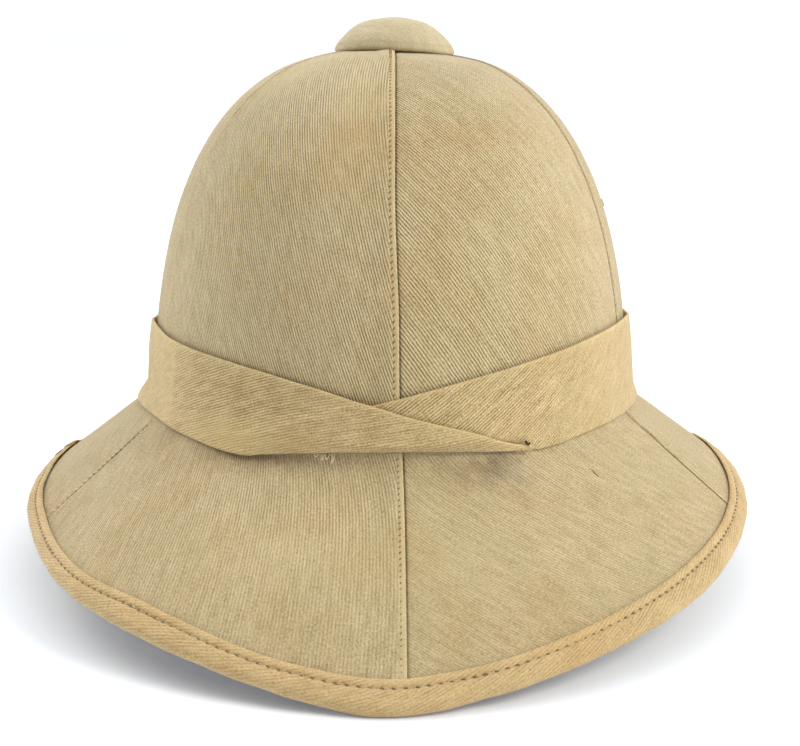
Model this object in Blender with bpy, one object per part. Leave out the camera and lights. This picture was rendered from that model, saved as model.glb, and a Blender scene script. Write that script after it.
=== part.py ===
"""Pith helmet: a hollow pith shell, six gores of twill, a folded band that crosses itself at the back,
a bound brim edge, and a domed cap on a stud over the vent hole.

Metres, +Z up. The front of the helmet faces +Y and the long rear brim points to -Y. The helmet is drawn
in hat axes, whose origin is the middle of the ring where the crown meets the brim, and is then leant
forward so that it rests on the tip of the rear brim and the edge of the front brim.
Angles round the helmet are counted from the rear (-Y), positive towards +X.
"""

import bisect
import functools
from math import atan2, cos, hypot, pi, radians, sin, sqrt

import bmesh
import bpy
from mathutils import Matrix, Vector

# ---- driving dimensions -----------------------------------------------------------------------------

CROWN_HALF_WIDTH = 0.0959
CROWN_HALF_LENGTH = 0.118
CROWN_HEIGHT = 0.1403
CROWN_PLAN_POWER = 2.57     # how square the crown's radius curve is
CROWN_RISE_POWER = 2.40     # how square the crown's height curve is
CROWN_PULL_IN = 0.0011      # the wall draws in this much at half height

RING_RISE_SIDE = 0.0041     # the brim joins the crown this much higher at the sides
FILLET = 0.0060             # reach of the curve that joins crown and brim

CLOTH = 0.0010              # thickness of the covering cloth
GAP = 0.0003                # clearance between pieces that touch
PITH_CROWN = 0.0060
PITH_RING = 0.0050
PITH_EDGE = 0.0018

BINDING = 0.0010            # thickness of the edge tape
BINDING_WIDTH_SIDE = 0.0088
BINDING_WIDTH_REAR = 0.0112
TIP_ROUNDING = 4.0          # degrees over which the point of the rear brim is rounded
PRESS = 0.0006              # how far the tape is pressed flat where it rests

BAND = 0.0020               # thickness of the folded band
BAND_SLACK = 0.0004         # the band stands off the crown this much at its foot
BAND_NARROWEST = 0.0015     # width left at its two ends
BAND_START = -26.0          # the end that lies underneath
BAND_END = 385.0            # the end that lies on top, once round and past the start

HOLE_RADIUS = 0.0060
POST_RADIUS = 0.0050
FLANGE_RADIUS = 0.0140
FLANGE = 0.0015

BUTTON_RADIUS = 0.0240
BUTTON_HEIGHT = 0.0120
BUTTON_DOME_RADIUS = 0.0325  # the sphere that the cap's top is part of
BUTTON_ROLL_RADIUS = 0.0020  # the rolled rim under it
BUTTON_SOCKET_DEPTH = 0.0050
BUTTON_TILT = 1.5           # degrees, down towards +X

# Edge of the brim, one row per section: angle from the rear in degrees, then reach from the crown's axis
# and height above the ring in metres, on the left (-X) and on the right. Age has warped the two sides.
BRIM_EDGE = (
    # angle, left reach and height, right reach and height
    (0.0,    0.1878, -0.0651,       0.1878, -0.0651),
    (30.0,   0.1740, -0.0467,       0.1697, -0.0487),
    (60.0,   0.1509, -0.0381,       0.1492, -0.0360),
    (90.0,   0.1419, -0.0328,       0.1387, -0.0289),
    (120.0,  0.1451, -0.0385,       0.1452, -0.0380),
    (150.0,  0.1560, -0.0405,       0.1560, -0.0405),
    (180.0,  0.1660, -0.0415,       0.1660, -0.0415),
)

# Upper edge of the band, one row per section: angle along the band and height above the ring.
BAND_TOP = (
    # angle, height
    (-26.0,  0.0030),
    (-2.5,   0.0190),
    (1.6,    0.0212),
    (16.0,   0.0279),
    (33.0,   0.0333),
    (58.0,   0.0369),
    (90.0,   0.0374),
    (180.0,  0.0380),
    (270.0,  0.0366),
    (292.0,  0.0361),
    (314.0,  0.0319),
    (335.0,  0.0279),
    (345.2,  0.0249),
    (357.2,  0.0190),
    (364.2,  0.0145),
    (372.6,  0.0098),
    (385.0,  0.0029),
)

# Lower edge of the band, one row per section: angle from the rear, height above the ring, and how far the
# edge stands out from the crown's wall where it lies over the curve on to the brim.
BAND_FOOT = (
    # angle,  height,  flare
    (-180.0,  0.0020,  0.0020),
    (-90.0,   0.0014,  0.0042),
    (-76.0,   0.0005,  0.0050),
    (-62.0,  -0.0003,  0.0054),
    (-46.0,  -0.0012,  0.0056),
    (-34.0,  -0.0020,  0.0050),
    (-26.0,  -0.0018,  0.0040),
    (-15.0,   0.0010,  0.0018),
    (0.0,     0.0022,  0.0012),
    (13.0,    0.0020,  0.0012),
    (26.0,    0.0012,  0.0014),
    (41.0,    0.0024,  0.0020),
    (60.0,    0.0036,  0.0026),
    (90.0,    0.0034,  0.0034),
    (180.0,   0.0020,  0.0020),
)
BAND_CLIMB = (290.0, 326.0)  # where the upper end climbs on to the lower one

# Seams between the gores: angle from the rear, and the name of the gore that starts there.
SEAMS = (
    (1.25,   "panel_rear_right"),
    (62.9,   "panel_side_right"),
    (121.5,  "panel_front_right"),
    (180.5,  "panel_front_left"),
    (239.5,  "panel_side_left"),
    (299.6,  "panel_rear_left"),
    (361.25, None),
)
STEPS_PER_GORE = 8
REAR_TIP_STATIONS = (357.5, 360.0, 363.75)

# Rows down the cover: the angle of the superellipse, from the vent hole to the foot of the crown, then
# shares of the brim.
CROWN_ROWS = (80.0, 70.0, 60.0, 50.0, 40.0, 30.0, 20.0, 10.0)
BRIM_ROWS = (0.33, 0.67, 1.0)

# Turns along the curves of the small sections, in degrees.
NOSE_TURNS = (90, 45, 10, -20, -38, -56, -74, -90)
DOME_TURNS = (8, 16, 24, 32, 39)
ROLL_TURNS = (60, 12, -38, -90)
ROUND_STEPS = 28
SMOOTH_ANGLE = 40.0

# ---- colours (linear) and surfaces -------------------------------------------------------------------

FINISHES = {
    # name:         (colour,                 roughness, metallic)
    "cover_twill":  ((0.56, 0.45, 0.25, 1.0), 0.90, 0.0),
    "band_twill":   ((0.57, 0.43, 0.22, 1.0), 0.90, 0.0),
    "edge_tape":    ((0.58, 0.43, 0.22, 1.0), 0.90, 0.0),
    "button_cloth": ((0.60, 0.50, 0.30, 1.0), 0.90, 0.0),
    "pith":         ((0.62, 0.52, 0.36, 1.0), 0.95, 0.0),
    "tinned_metal": ((0.45, 0.44, 0.41, 1.0), 0.45, 1.0),
}


# ---- helpers -----------------------------------------------------------------------------------------

def clear_scene():
    for item in list(bpy.data.objects):
        bpy.data.objects.remove(item, do_unlink=True)


def finish(name):
    """The material called name, made once."""
    if name in bpy.data.materials:
        return bpy.data.materials[name]
    colour, roughness, metallic = FINISHES[name]
    material = bpy.data.materials.new(name)
    material.use_nodes = True
    shader = material.node_tree.nodes["Principled BSDF"]
    shader.inputs["Base Color"].default_value = colour
    shader.inputs["Roughness"].default_value = roughness
    shader.inputs["Metallic"].default_value = metallic
    material.diffuse_color = colour
    return material


def smooth_curve(rows, column, where):
    """A cubic through a table's column against its first column, with slopes limited to no overshoot."""
    xs = [row[0] for row in rows]
    ys = [row[column] for row in rows]
    slopes = [0.0]
    for i in range(1, len(xs) - 1):
        before = (ys[i] - ys[i - 1]) / (xs[i] - xs[i - 1])
        after = (ys[i + 1] - ys[i]) / (xs[i + 1] - xs[i])
        slopes.append(0.0 if before * after <= 0 else 2 * before * after / (before + after))
    slopes.append(0.0)
    slopes[0] = (ys[1] - ys[0]) / (xs[1] - xs[0])
    i = min(max(bisect.bisect_right(xs, where) - 1, 0), len(xs) - 2)
    span = xs[i + 1] - xs[i]
    t = min(max((where - xs[i]) / span, 0.0), 1.0)
    start = (1 + 2 * t) * (1 - t) ** 2 * ys[i] + t * (1 - t) ** 2 * span * slopes[i]
    end = t * t * (3 - 2 * t) * ys[i + 1] + t * t * (t - 1) * span * slopes[i + 1]
    return start + end


def fold_angle(degrees):
    """The angle from the rear, 0 to 180, of a section on either side."""
    turn = abs(degrees) % 360.0
    return min(turn, 360.0 - turn)


def side_share(degrees):
    """0 at the front and rear, 1 at the sides."""
    return sin(radians(degrees)) ** 2


def offset(points, outward):
    """Points of a section moved by the given distances along the section's own normals."""
    moved = []
    for i, (point, distance) in enumerate(zip(points, outward)):
        before = points[max(i - 1, 0)]
        after = points[min(i + 1, len(points) - 1)]
        run = Vector((after[0] - before[0], after[1] - before[1])).normalized()
        moved.append((point[0] - run.y * distance, point[1] + run.x * distance))
    return moved


# ---- sections: points (reach, height) in the upright plane at an angle round the helmet -----------------

def ring_reach(degrees):
    """The crown's plan is an ellipse; this is its radius where it meets the brim."""
    turn = radians(degrees)
    return 1 / hypot(sin(turn) / CROWN_HALF_WIDTH, cos(turn) / CROWN_HALF_LENGTH)


def ring_height(degrees):
    return RING_RISE_SIDE * side_share(degrees)


def crown_point(degrees, row):
    """A point of the crown's outside; row is 90 at the top and 0 at the ring's level."""
    rise = sin(radians(row)) ** (2 / CROWN_RISE_POWER)
    shrink = cos(radians(row)) ** (2 / CROWN_PLAN_POWER)
    pulled = 1 - CROWN_PULL_IN / CROWN_HALF_WIDTH * sin(pi * rise)
    return ring_reach(degrees) * shrink * pulled, CROWN_HEIGHT * rise


def row_at_height(height):
    share = max(height, 0.0) / CROWN_HEIGHT
    return atan2(share ** (CROWN_RISE_POWER / 2), sqrt(1 - share ** CROWN_RISE_POWER)) * 180 / pi


def row_at_reach(degrees, reach):
    """The crown row near the top whose point lies at the given reach."""
    share = (reach / ring_reach(degrees)) ** (CROWN_PLAN_POWER / 2)
    return atan2(sqrt(1 - share * share), share) * 180 / pi


def tip(degrees):
    """The outermost point of the bound edge."""
    turn = fold_angle(degrees)
    rounded = sqrt(turn * turn + TIP_ROUNDING * TIP_ROUNDING) - TIP_ROUNDING
    column = 3 if sin(radians(degrees)) > 0 else 1
    return smooth_curve(BRIM_EDGE, column, rounded), smooth_curve(BRIM_EDGE, column + 1, rounded)


EDGE_REFINEMENTS = 3        # rounds that bring the top line level with the bound edge
NOSE_RADIUS = (CLOTH + GAP + PITH_EDGE) / 2 + GAP + BINDING


def brim_frame(degrees):
    """Start of the brim's top line, its end at the edge, and its outward direction."""
    start = Vector((ring_reach(degrees), ring_height(degrees)))
    edge = Vector(tip(degrees))
    along = (edge - start).normalized()
    for _ in range(EDGE_REFINEMENTS):
        upward = Vector((-along.y, along.x))
        end = edge - along * NOSE_RADIUS + upward * (NOSE_RADIUS - BINDING - GAP)
        along = (end - start).normalized()
    return start, end, along


def cover_section(degrees):
    """The outside of the covering cloth from the vent hole to the edge of the brim."""
    start, end, along = brim_frame(degrees)
    points = [crown_point(degrees, row_at_reach(degrees, HOLE_RADIUS))]
    points += [crown_point(degrees, row) for row in CROWN_ROWS]
    above = crown_point(degrees, row_at_height(start.y + FILLET))
    below = start + along * FILLET
    corner = (Vector(above) + Vector(below) + 2 * start) / 4
    points += [above, tuple(corner), tuple(below)]
    points += [tuple(below.lerp(end, share)) for share in BRIM_ROWS]
    return points


CROWN_COUNT = 1 + len(CROWN_ROWS)
SECTION_COUNT = CROWN_COUNT + 3 + len(BRIM_ROWS)


def pith_thickness():
    """Thickness of the shell at each point of a section."""
    crown = [PITH_CROWN] * CROWN_COUNT
    ring = [PITH_RING] * 3
    brim = [PITH_RING + (PITH_EDGE - PITH_RING) * share for share in BRIM_ROWS]
    return crown + ring + brim


def layer_section(degrees, depths):
    """The cover's section sunk by a depth at each point, kept clear of the vent hole."""
    points = offset(cover_section(degrees), [-depth for depth in depths])
    top = cover_section(degrees)[0]
    points[0] = (top[0], top[1] - depths[0])
    return points


# ---- from sections to solids -----------------------------------------------------------------------------

def in_space(degrees, point):
    """A section's point as a point in hat axes."""
    turn = radians(degrees)
    return Vector((point[0] * sin(turn), -point[0] * cos(turn), point[1]))


def make_object(name, mesh, finish_name, pressed=False):
    """Put a mesh drawn in hat axes in its resting place, as a smooth-shaded object."""
    mesh.transform(resting_place())
    if pressed:
        for vertex in mesh.vertices:
            vertex.co.z = max(vertex.co.z, 0.0)
    mesh.materials.append(finish(finish_name))
    mesh.shade_smooth()
    mesh.set_sharp_from_angle(angle=radians(SMOOTH_ANGLE))
    thing = bpy.data.objects.new(name, mesh)
    bpy.context.scene.collection.objects.link(thing)
    return thing


def mesh_from_rings(name, rings, closed_round, closed_along):
    """A closed skin over rings of points: quads between neighbours, caps on open ends."""
    shape = bmesh.new()
    grid = [[shape.verts.new(point) for point in ring] for ring in rings]
    count = len(grid[0])
    for i in range(len(grid) if closed_along else len(grid) - 1):
        this, following = grid[i], grid[(i + 1) % len(grid)]
        for j in range(count if closed_round else count - 1):
            k = (j + 1) % count
            shape.faces.new((this[j], following[j], following[k], this[k]))
    if not closed_along:
        strips = ((grid[0], 1), (grid[-1], -1))
        half = count // 2
        for ring, way in strips:
            for j in range(half - 1):
                corners = (ring[j], ring[j + 1], ring[count - 2 - j], ring[count - 1 - j])
                shape.faces.new(corners[::way])
    bmesh.ops.recalc_face_normals(shape, faces=shape.faces)
    bmesh.ops.triangulate(shape, faces=shape.faces)
    mesh = bpy.data.meshes.new(name)
    shape.to_mesh(mesh)
    shape.free()
    return mesh


def loop_section(outer, inner):
    """A closed ring of points: down the outside and back up the inside."""
    return list(outer) + list(reversed(inner))


def stations(first, last):
    """Angles between two seams, with the extra ones that draw the rear tip."""
    step = (last - first) / STEPS_PER_GORE
    angles = [first + step * i for i in range(STEPS_PER_GORE + 1)]
    extra = [angle for angle in REAR_TIP_STATIONS if first < angle < last]
    extra += [angle - 360.0 for angle in REAR_TIP_STATIONS if first < angle - 360.0 < last]
    near = [angle for angle in angles if all(abs(angle - other) > 1.0 for other in extra)]
    return sorted(near + extra)


def all_stations():
    angles = []
    for (first, _), (last, _) in zip(SEAMS, SEAMS[1:]):
        angles += stations(first, last)[:-1]
    return angles


# ---- the pieces ----------------------------------------------------------------------------------------

def make_pith_shell():
    skin_depth = CLOTH + GAP
    outer_depths = [skin_depth] * SECTION_COUNT
    inner_depths = [skin_depth + thickness for thickness in pith_thickness()]
    rings = []
    for degrees in all_stations():
        outer = layer_section(degrees, outer_depths)
        inner = layer_section(degrees, inner_depths)
        rings.append([in_space(degrees, point) for point in loop_section(outer, inner)])
    mesh = mesh_from_rings("pith_shell", rings, closed_round=True, closed_along=True)
    make_object("pith_shell", mesh, "pith")


def side_by(degrees, reach, shift):
    """The angle of a line that runs beside a seam at a distance."""
    return degrees + shift / reach * 180 / pi


def make_panels():
    depths = [CLOTH] * SECTION_COUNT
    for (first, name), (last, _) in zip(SEAMS, SEAMS[1:]):
        rings = []
        angles = stations(first, last)
        for i, degrees in enumerate(angles):
            shift = GAP / 2 * ((i == 0) - (i == len(angles) - 1))
            outer = cover_section(degrees)
            inner = layer_section(degrees, depths)
            ring = []
            for point in loop_section(outer, inner):
                ring.append(in_space(side_by(degrees, point[0], shift), point))
            rings.append(ring)
        mesh = mesh_from_rings(name, rings, closed_round=True, closed_along=False)
        make_object(name, mesh, "cover_twill")


def binding_section(degrees):
    """The tape's section: over the top, round the nose, back underneath, then its inside."""
    start, end, along = brim_frame(degrees)
    upward = Vector((-along.y, along.x))
    total = CLOTH + GAP + PITH_EDGE
    centre = end - upward * total / 2
    rear_share = cos(radians(degrees)) ** 2 if cos(radians(degrees)) > 0 else 0.0
    width = BINDING_WIDTH_SIDE + (BINDING_WIDTH_REAR - BINDING_WIDTH_SIDE) * rear_share ** 4
    leg = width - NOSE_RADIUS
    taper = (PITH_RING - PITH_EDGE) / ((end - start).length - FILLET)
    under = upward * (leg * taper)
    inner_radius = NOSE_RADIUS - BINDING
    outer = [centre - along * leg + upward * NOSE_RADIUS]
    for turn in NOSE_TURNS:
        outer.append(centre + (along * cos(radians(turn)) + upward * sin(radians(turn))) * NOSE_RADIUS)
    outer.append(centre - along * leg - upward * NOSE_RADIUS - under)
    inner = [
        centre - along * leg + upward * inner_radius,
        centre + along * GAP + upward * inner_radius,
        centre + along * GAP - upward * inner_radius,
        centre - along * leg - upward * inner_radius - under,
    ]
    return loop_section(outer, inner)


@functools.cache
def resting_place():
    """The lean and lift that set the rear tip and the front edge on the ground, and the slide that puts
    the middle of the binding's outline over the origin."""
    centres = []
    for degrees in (0.0, 180.0):
        _, end, along = brim_frame(degrees)
        inward = NOSE_RADIUS - BINDING - GAP
        centre = end - Vector((-along.y, along.x)) * inward
        centres.append(in_space(degrees, centre))
    rear, front = centres
    lean = atan2(front.z - rear.z, front.y - rear.y)
    turn = Matrix.Rotation(-lean, 4, "X")
    lift = NOSE_RADIUS - PRESS - (turn @ rear).z
    across = []
    lengthwise = []
    for degrees in all_stations():
        for point in binding_section(degrees):
            placed = turn @ in_space(degrees, point)
            across.append(placed.x)
            lengthwise.append(placed.y)
    slide_x = -(min(across) + max(across)) / 2
    slide_y = -(min(lengthwise) + max(lengthwise)) / 2
    return Matrix.Translation((slide_x, slide_y, lift)) @ turn


def make_binding():
    rings = []
    for degrees in all_stations():
        rings.append([in_space(degrees, point) for point in binding_section(degrees)])
    mesh = mesh_from_rings("brim_binding", rings, closed_round=True, closed_along=True)
    make_object("brim_binding", mesh, "edge_tape", pressed=True)


def band_lift(degrees):
    """Height of the band's inside above the cloth: the upper end lies on the lower one."""
    first, last = BAND_CLIMB
    share = min(max((degrees - first) / (last - first), 0.0), 1.0)
    return GAP + (BAND + GAP) * share * share * (3 - 2 * share)


def band_point(degrees, height):
    """A point of the line that the band's inside follows, down the crown's wall and out over the curve."""
    turn = (degrees + 180.0) % 360.0 - 180.0
    foot = smooth_curve(BAND_FOOT, 1, turn)
    curve_start = ring_height(degrees) + FILLET
    share = min(max((curve_start - height) / (curve_start - foot), 0.0), 1.0)
    reach = crown_point(degrees, row_at_height(height))[0]
    return reach + smooth_curve(BAND_FOOT, 2, turn) * share, height


def band_section(degrees):
    foot = smooth_curve(BAND_FOOT, 1, (degrees + 180.0) % 360.0 - 180.0)
    top = max(smooth_curve(BAND_TOP, 1, degrees), foot + BAND_NARROWEST)
    knee = min(ring_height(degrees) + FILLET, (top + foot) / 2)
    heights = (top, (top + knee) / 2, knee, foot)
    wall = [band_point(degrees, height) for height in heights]
    lifts = [band_lift(degrees) + BAND_SLACK * (top - height) / (top - foot) for height in heights]
    inner = offset(wall, lifts)
    outer = offset(wall, [lift + BAND for lift in lifts])
    return loop_section(outer, inner)


def make_puggaree():
    turns = [angle + 360.0 * turn for turn in (-1, 0, 1) for angle in all_stations()]
    angles = [angle for angle in turns if BAND_START + 2 < angle < BAND_END - 2]
    rings = []
    for degrees in [BAND_START] + angles + [BAND_END]:
        rings.append([in_space(degrees, point) for point in band_section(degrees)])
    mesh = mesh_from_rings("puggaree", rings, closed_round=True, closed_along=False)
    make_object("puggaree", mesh, "band_twill")


def spin_profile(name, profile, steps):
    """A closed turned body from a profile of (reach, height) that starts and ends on the axis."""
    shape = bmesh.new()
    points = [shape.verts.new((reach, 0.0, height)) for reach, height in profile]
    edges = [shape.edges.new(pair) for pair in zip(points, points[1:])]
    bmesh.ops.spin(
        shape, geom=points + edges, axis=(0, 0, 1), cent=(0, 0, 0),
        steps=steps, angle=2 * pi, use_merge=True, use_duplicate=False,
    )
    bmesh.ops.remove_doubles(shape, verts=shape.verts, dist=0.00001)
    bmesh.ops.recalc_face_normals(shape, faces=shape.faces)
    bmesh.ops.triangulate(shape, faces=shape.faces)
    mesh = bpy.data.meshes.new(name)
    shape.to_mesh(mesh)
    shape.free()
    return mesh


RIM_REACH = BUTTON_RADIUS - BUTTON_ROLL_RADIUS
RIM_HEIGHT = crown_point(0.0, row_at_reach(0.0, RIM_REACH))[1] + GAP
CAP_FLOOR = CROWN_HEIGHT + 2 * GAP


def make_vent_button():
    """A low dome with a rolled rim and a flat underside with a socket for the stud, tilted a little."""
    top = RIM_HEIGHT + BUTTON_HEIGHT
    socket = POST_RADIUS + GAP
    profile = [(0.0, top)]
    for turn in DOME_TURNS:
        reach = BUTTON_DOME_RADIUS * sin(radians(turn))
        drop = BUTTON_DOME_RADIUS * (1 - cos(radians(turn)))
        profile.append((reach, top - drop))
    for turn in ROLL_TURNS:
        reach = RIM_REACH + BUTTON_ROLL_RADIUS * cos(radians(turn))
        height = RIM_HEIGHT + BUTTON_ROLL_RADIUS * (1 + sin(radians(turn)))
        profile.append((reach, height))
    profile.append((RIM_REACH - BUTTON_ROLL_RADIUS, CAP_FLOOR))
    profile.append((socket, CAP_FLOOR))
    profile.append((socket, CAP_FLOOR + BUTTON_SOCKET_DEPTH))
    profile.append((0.0, CAP_FLOOR + BUTTON_SOCKET_DEPTH))
    mesh = spin_profile("vent_button", profile, ROUND_STEPS)
    seat = Vector((0.0, 0.0, CAP_FLOOR))
    tilt = Matrix.Rotation(radians(BUTTON_TILT), 4, "Y")
    mesh.transform(Matrix.Translation(seat) @ tilt @ Matrix.Translation(-seat))
    make_object("vent_button", mesh, "button_cloth")


def make_vent_post():
    """A stud with a flange under the pith; its shank stands in the cap's socket."""
    under_pith = crown_point(0.0, row_at_reach(0.0, FLANGE_RADIUS))[1] - CLOTH - PITH_CROWN - 3 * GAP
    shank_top = CAP_FLOOR + BUTTON_SOCKET_DEPTH - GAP
    profile = [
        (0.0, shank_top),
        (POST_RADIUS, shank_top),
        (POST_RADIUS, under_pith),
        (FLANGE_RADIUS, under_pith),
        (FLANGE_RADIUS, under_pith - FLANGE),
        (0.0, under_pith - FLANGE),
    ]
    make_object("vent_post", spin_profile("vent_post", profile, ROUND_STEPS), "tinned_metal")


def main():
    clear_scene()
    make_pith_shell()
    make_panels()
    make_binding()
    make_puggaree()
    make_vent_button()
    make_vent_post()


main()
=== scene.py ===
# %% [markdown]
# # A pith helmet, dressed in cloth
#
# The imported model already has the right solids: a pith shell, six cloth gores, a folded band, a bound
# brim, a button and its stud. This lesson loads them as a fixed frame and makes the surfaces that the
# eye meets: lapped and stitched twill, a band whose ends cross at the back, bias tape round the brim.

from math import cos, degrees, pi, radians, sin

import bpy
import numpy as np
from mathutils import Matrix, Vector, noise


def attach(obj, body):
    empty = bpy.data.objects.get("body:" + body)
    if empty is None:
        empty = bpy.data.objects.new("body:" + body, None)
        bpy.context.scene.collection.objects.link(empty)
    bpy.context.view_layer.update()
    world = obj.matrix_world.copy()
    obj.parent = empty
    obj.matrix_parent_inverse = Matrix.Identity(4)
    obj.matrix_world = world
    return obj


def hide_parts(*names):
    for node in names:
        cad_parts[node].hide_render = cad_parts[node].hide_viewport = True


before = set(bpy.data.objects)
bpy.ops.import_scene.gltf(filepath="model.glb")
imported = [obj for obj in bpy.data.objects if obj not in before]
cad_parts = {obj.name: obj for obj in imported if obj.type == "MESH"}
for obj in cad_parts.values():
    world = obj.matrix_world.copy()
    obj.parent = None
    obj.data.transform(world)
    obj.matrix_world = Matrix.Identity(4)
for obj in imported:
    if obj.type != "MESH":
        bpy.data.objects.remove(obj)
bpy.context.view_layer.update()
bpy.ops.object.select_all(action="DESELECT")
print("nodes:", ", ".join(sorted(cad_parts)))

# %% [markdown]
# ## The helmet's own axes
#
# A hat maker measures from the ring where the crown meets the brim. In these hat axes the ring lies
# level, with its middle at the origin. The helmet in the picture leans forward on its brim, so one
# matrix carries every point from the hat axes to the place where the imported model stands.

# %% Sizes in metres, and the lean
MM = 0.001
CROWN_HALF_WIDTH = 0.0959
CROWN_HALF_LENGTH = 0.118
CROWN_HEIGHT = 0.1403
CROWN_PLAN_POWER = 2.57
CROWN_RISE_POWER = 2.40
CROWN_PULL_IN = 0.0011
RING_RISE_SIDE = 0.0041
FILLET = 0.0060
HOLE_RADIUS = 0.0060
CLOTH = 0.0010
GAP = 0.0003
PITH_CROWN = 0.0060
PITH_RING = 0.0050
PITH_EDGE = 0.0018
BINDING = 0.0010
TIP_ROUNDING = 4.0
NOSE_RADIUS = (CLOTH + GAP + PITH_EDGE) / 2 + GAP + BINDING

LEAN = radians(3.8558)
TO_WORLD = Matrix.Translation((0.00147, 0.014566, 0.052811)) @ Matrix.Rotation(-LEAN, 4, "X")
print("lean in degrees:", round(degrees(LEAN), 2))

# %% [markdown]
# ## The brim's edge and the ring
#
# The edge of the brim is a list of sections, with one row for every thirty degrees, counted from the
# back. A smooth curve runs through them. Left and right differ a little, because age has warped it.

# %% Sections of the brim
BRIM_EDGE = (
    # angle, left reach and height, right reach and height
    (0.0,    0.1878, -0.0651,       0.1878, -0.0651),
    (30.0,   0.1740, -0.0467,       0.1697, -0.0487),
    (60.0,   0.1509, -0.0381,       0.1492, -0.0360),
    (90.0,   0.1419, -0.0328,       0.1387, -0.0289),
    (120.0,  0.1451, -0.0385,       0.1452, -0.0380),
    (150.0,  0.1560, -0.0405,       0.1560, -0.0405),
    (180.0,  0.1660, -0.0415,       0.1660, -0.0415),
)


def smooth_curve(rows, column, where):
    """A cubic through a table's column against its first column, with slopes limited to no overshoot."""
    xs = np.array([row[0] for row in rows], float)
    ys = np.array([row[column] for row in rows], float)
    steps = np.diff(ys) / np.diff(xs)
    product = steps[:-1] * steps[1:]
    total = np.where(product > 0, steps[:-1] + steps[1:], 1.0)
    inner = np.where(product > 0, 2 * product / total, 0.0)
    slopes = np.concatenate([[steps[0]], inner, [0.0]])
    where = np.asarray(where, float)
    i = np.clip(np.searchsorted(xs, where, side="right") - 1, 0, len(xs) - 2)
    span = xs[i + 1] - xs[i]
    t = np.clip((where - xs[i]) / span, 0.0, 1.0)
    start = (1 + 2 * t) * (1 - t) ** 2 * ys[i] + t * (1 - t) ** 2 * span * slopes[i]
    end = t * t * (3 - 2 * t) * ys[i + 1] + t * t * (t - 1) * span * slopes[i + 1]
    return start + end


def signed_turn(angle):
    return (np.asarray(angle, float) + 180.0) % 360.0 - 180.0


def tip(angle):
    """The outermost point of the bound edge at an angle from the back."""
    turn = signed_turn(angle)
    rounded = np.sqrt(turn * turn + TIP_ROUNDING ** 2) - TIP_ROUNDING
    left = np.stack([smooth_curve(BRIM_EDGE, 1, rounded), smooth_curve(BRIM_EDGE, 2, rounded)], -1)
    right = np.stack([smooth_curve(BRIM_EDGE, 3, rounded), smooth_curve(BRIM_EDGE, 4, rounded)], -1)
    return np.where((turn > 0)[..., None], right, left)


def ring_reach(angle):
    turn = np.radians(angle)
    return 1 / np.hypot(np.sin(turn) / CROWN_HALF_WIDTH, np.cos(turn) / CROWN_HALF_LENGTH)


def ring_height(angle):
    return RING_RISE_SIDE * np.sin(np.radians(angle)) ** 2


def brim_line(angle):
    """The brim's top: its start at the ring, its end at the edge, and the outward direction."""
    start = np.stack([ring_reach(angle), ring_height(angle)], -1)
    edge = tip(angle)
    along = edge - start
    for _ in range(4):  # the end moves with the direction, and four rounds settle both
        along = along / np.linalg.norm(along, axis=-1, keepdims=True)
        upward = np.stack([-along[..., 1], along[..., 0]], -1)
        end = edge - along * NOSE_RADIUS + upward * (NOSE_RADIUS - BINDING - GAP)
        along = end - start
    return start, end, along / np.linalg.norm(along, axis=-1, keepdims=True)


print("rear tip, reach and height:", tip(0.0))

# %% [markdown]
# ## One surface for all the cloth
#
# A primitive can't give this crown, whose curve is squarer than an ellipse, nor the warped brim. So the
# covering is measured once as a fine net of points, from the vent hole down to the brim's edge, all the
# way round. Every cloth piece is then a plain grid laid on this net, as cloth is laid on a block.

# %% The net: rows down the helmet, columns round it
CROWN_STEPS = 96
BRIM_STEPS = 46
FINE_STEPS = 240
BEND_STEPS = 16
NET_STEP = 0.5
NET_ANGLES = np.arange(-180.0, 180.0 + NET_STEP / 2, NET_STEP)


def crown_curve(angle, row):
    """A point of the crown's outside; row is 90 at the top and 0 at the ring's level."""
    rise = np.sin(np.radians(row)) ** (2 / CROWN_RISE_POWER)
    shrink = np.cos(np.radians(row)) ** (2 / CROWN_PLAN_POWER)
    pulled = 1 - CROWN_PULL_IN / CROWN_HALF_WIDTH * np.sin(pi * rise)
    return ring_reach(angle) * shrink * pulled, CROWN_HEIGHT * rise


def row_at_height(height):
    share = np.maximum(height, 0.0) / CROWN_HEIGHT
    across = np.sqrt(1 - share ** CROWN_RISE_POWER)
    return np.degrees(np.arctan2(share ** (CROWN_RISE_POWER / 2), across))


def row_at_reach(angle, reach):
    share = (reach / ring_reach(angle)) ** (CROWN_PLAN_POWER / 2)
    return np.degrees(np.arctan2(np.sqrt(1 - share * share), share))


def spread_evenly(points, count):
    """The same line with count steps of equal length."""
    lengths = np.concatenate([[0.0], np.cumsum(np.linalg.norm(np.diff(points, axis=0), axis=1))])
    wanted = np.linspace(0.0, lengths[-1], count + 1)
    return np.stack([np.interp(wanted, lengths, points[:, k]) for k in (0, 1)], -1)


def section(angle):
    """The cloth's outside at an angle: the crown's points, then the brim's."""
    start, end, along = brim_line(angle)
    top = row_at_reach(angle, HOLE_RADIUS)
    foot = row_at_height(start[1] + FILLET)
    reach, height = crown_curve(angle, np.linspace(top, foot, FINE_STEPS))
    crown = spread_evenly(np.stack([reach, height], -1), CROWN_STEPS)
    below = start + along * FILLET
    t = np.linspace(0.0, 1.0, BEND_STEPS)[:, None]
    bend = (1 - t) ** 2 * crown[-1] + 2 * t * (1 - t) * start + t * t * below
    brim = spread_evenly(np.concatenate([bend, [end]]), BRIM_STEPS)
    return np.concatenate([crown, brim[1:]])


def in_hat(angle, reach, height):
    turn = np.radians(angle)
    return np.stack([reach * np.sin(turn), -reach * np.cos(turn), height + 0 * turn], -1)


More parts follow.
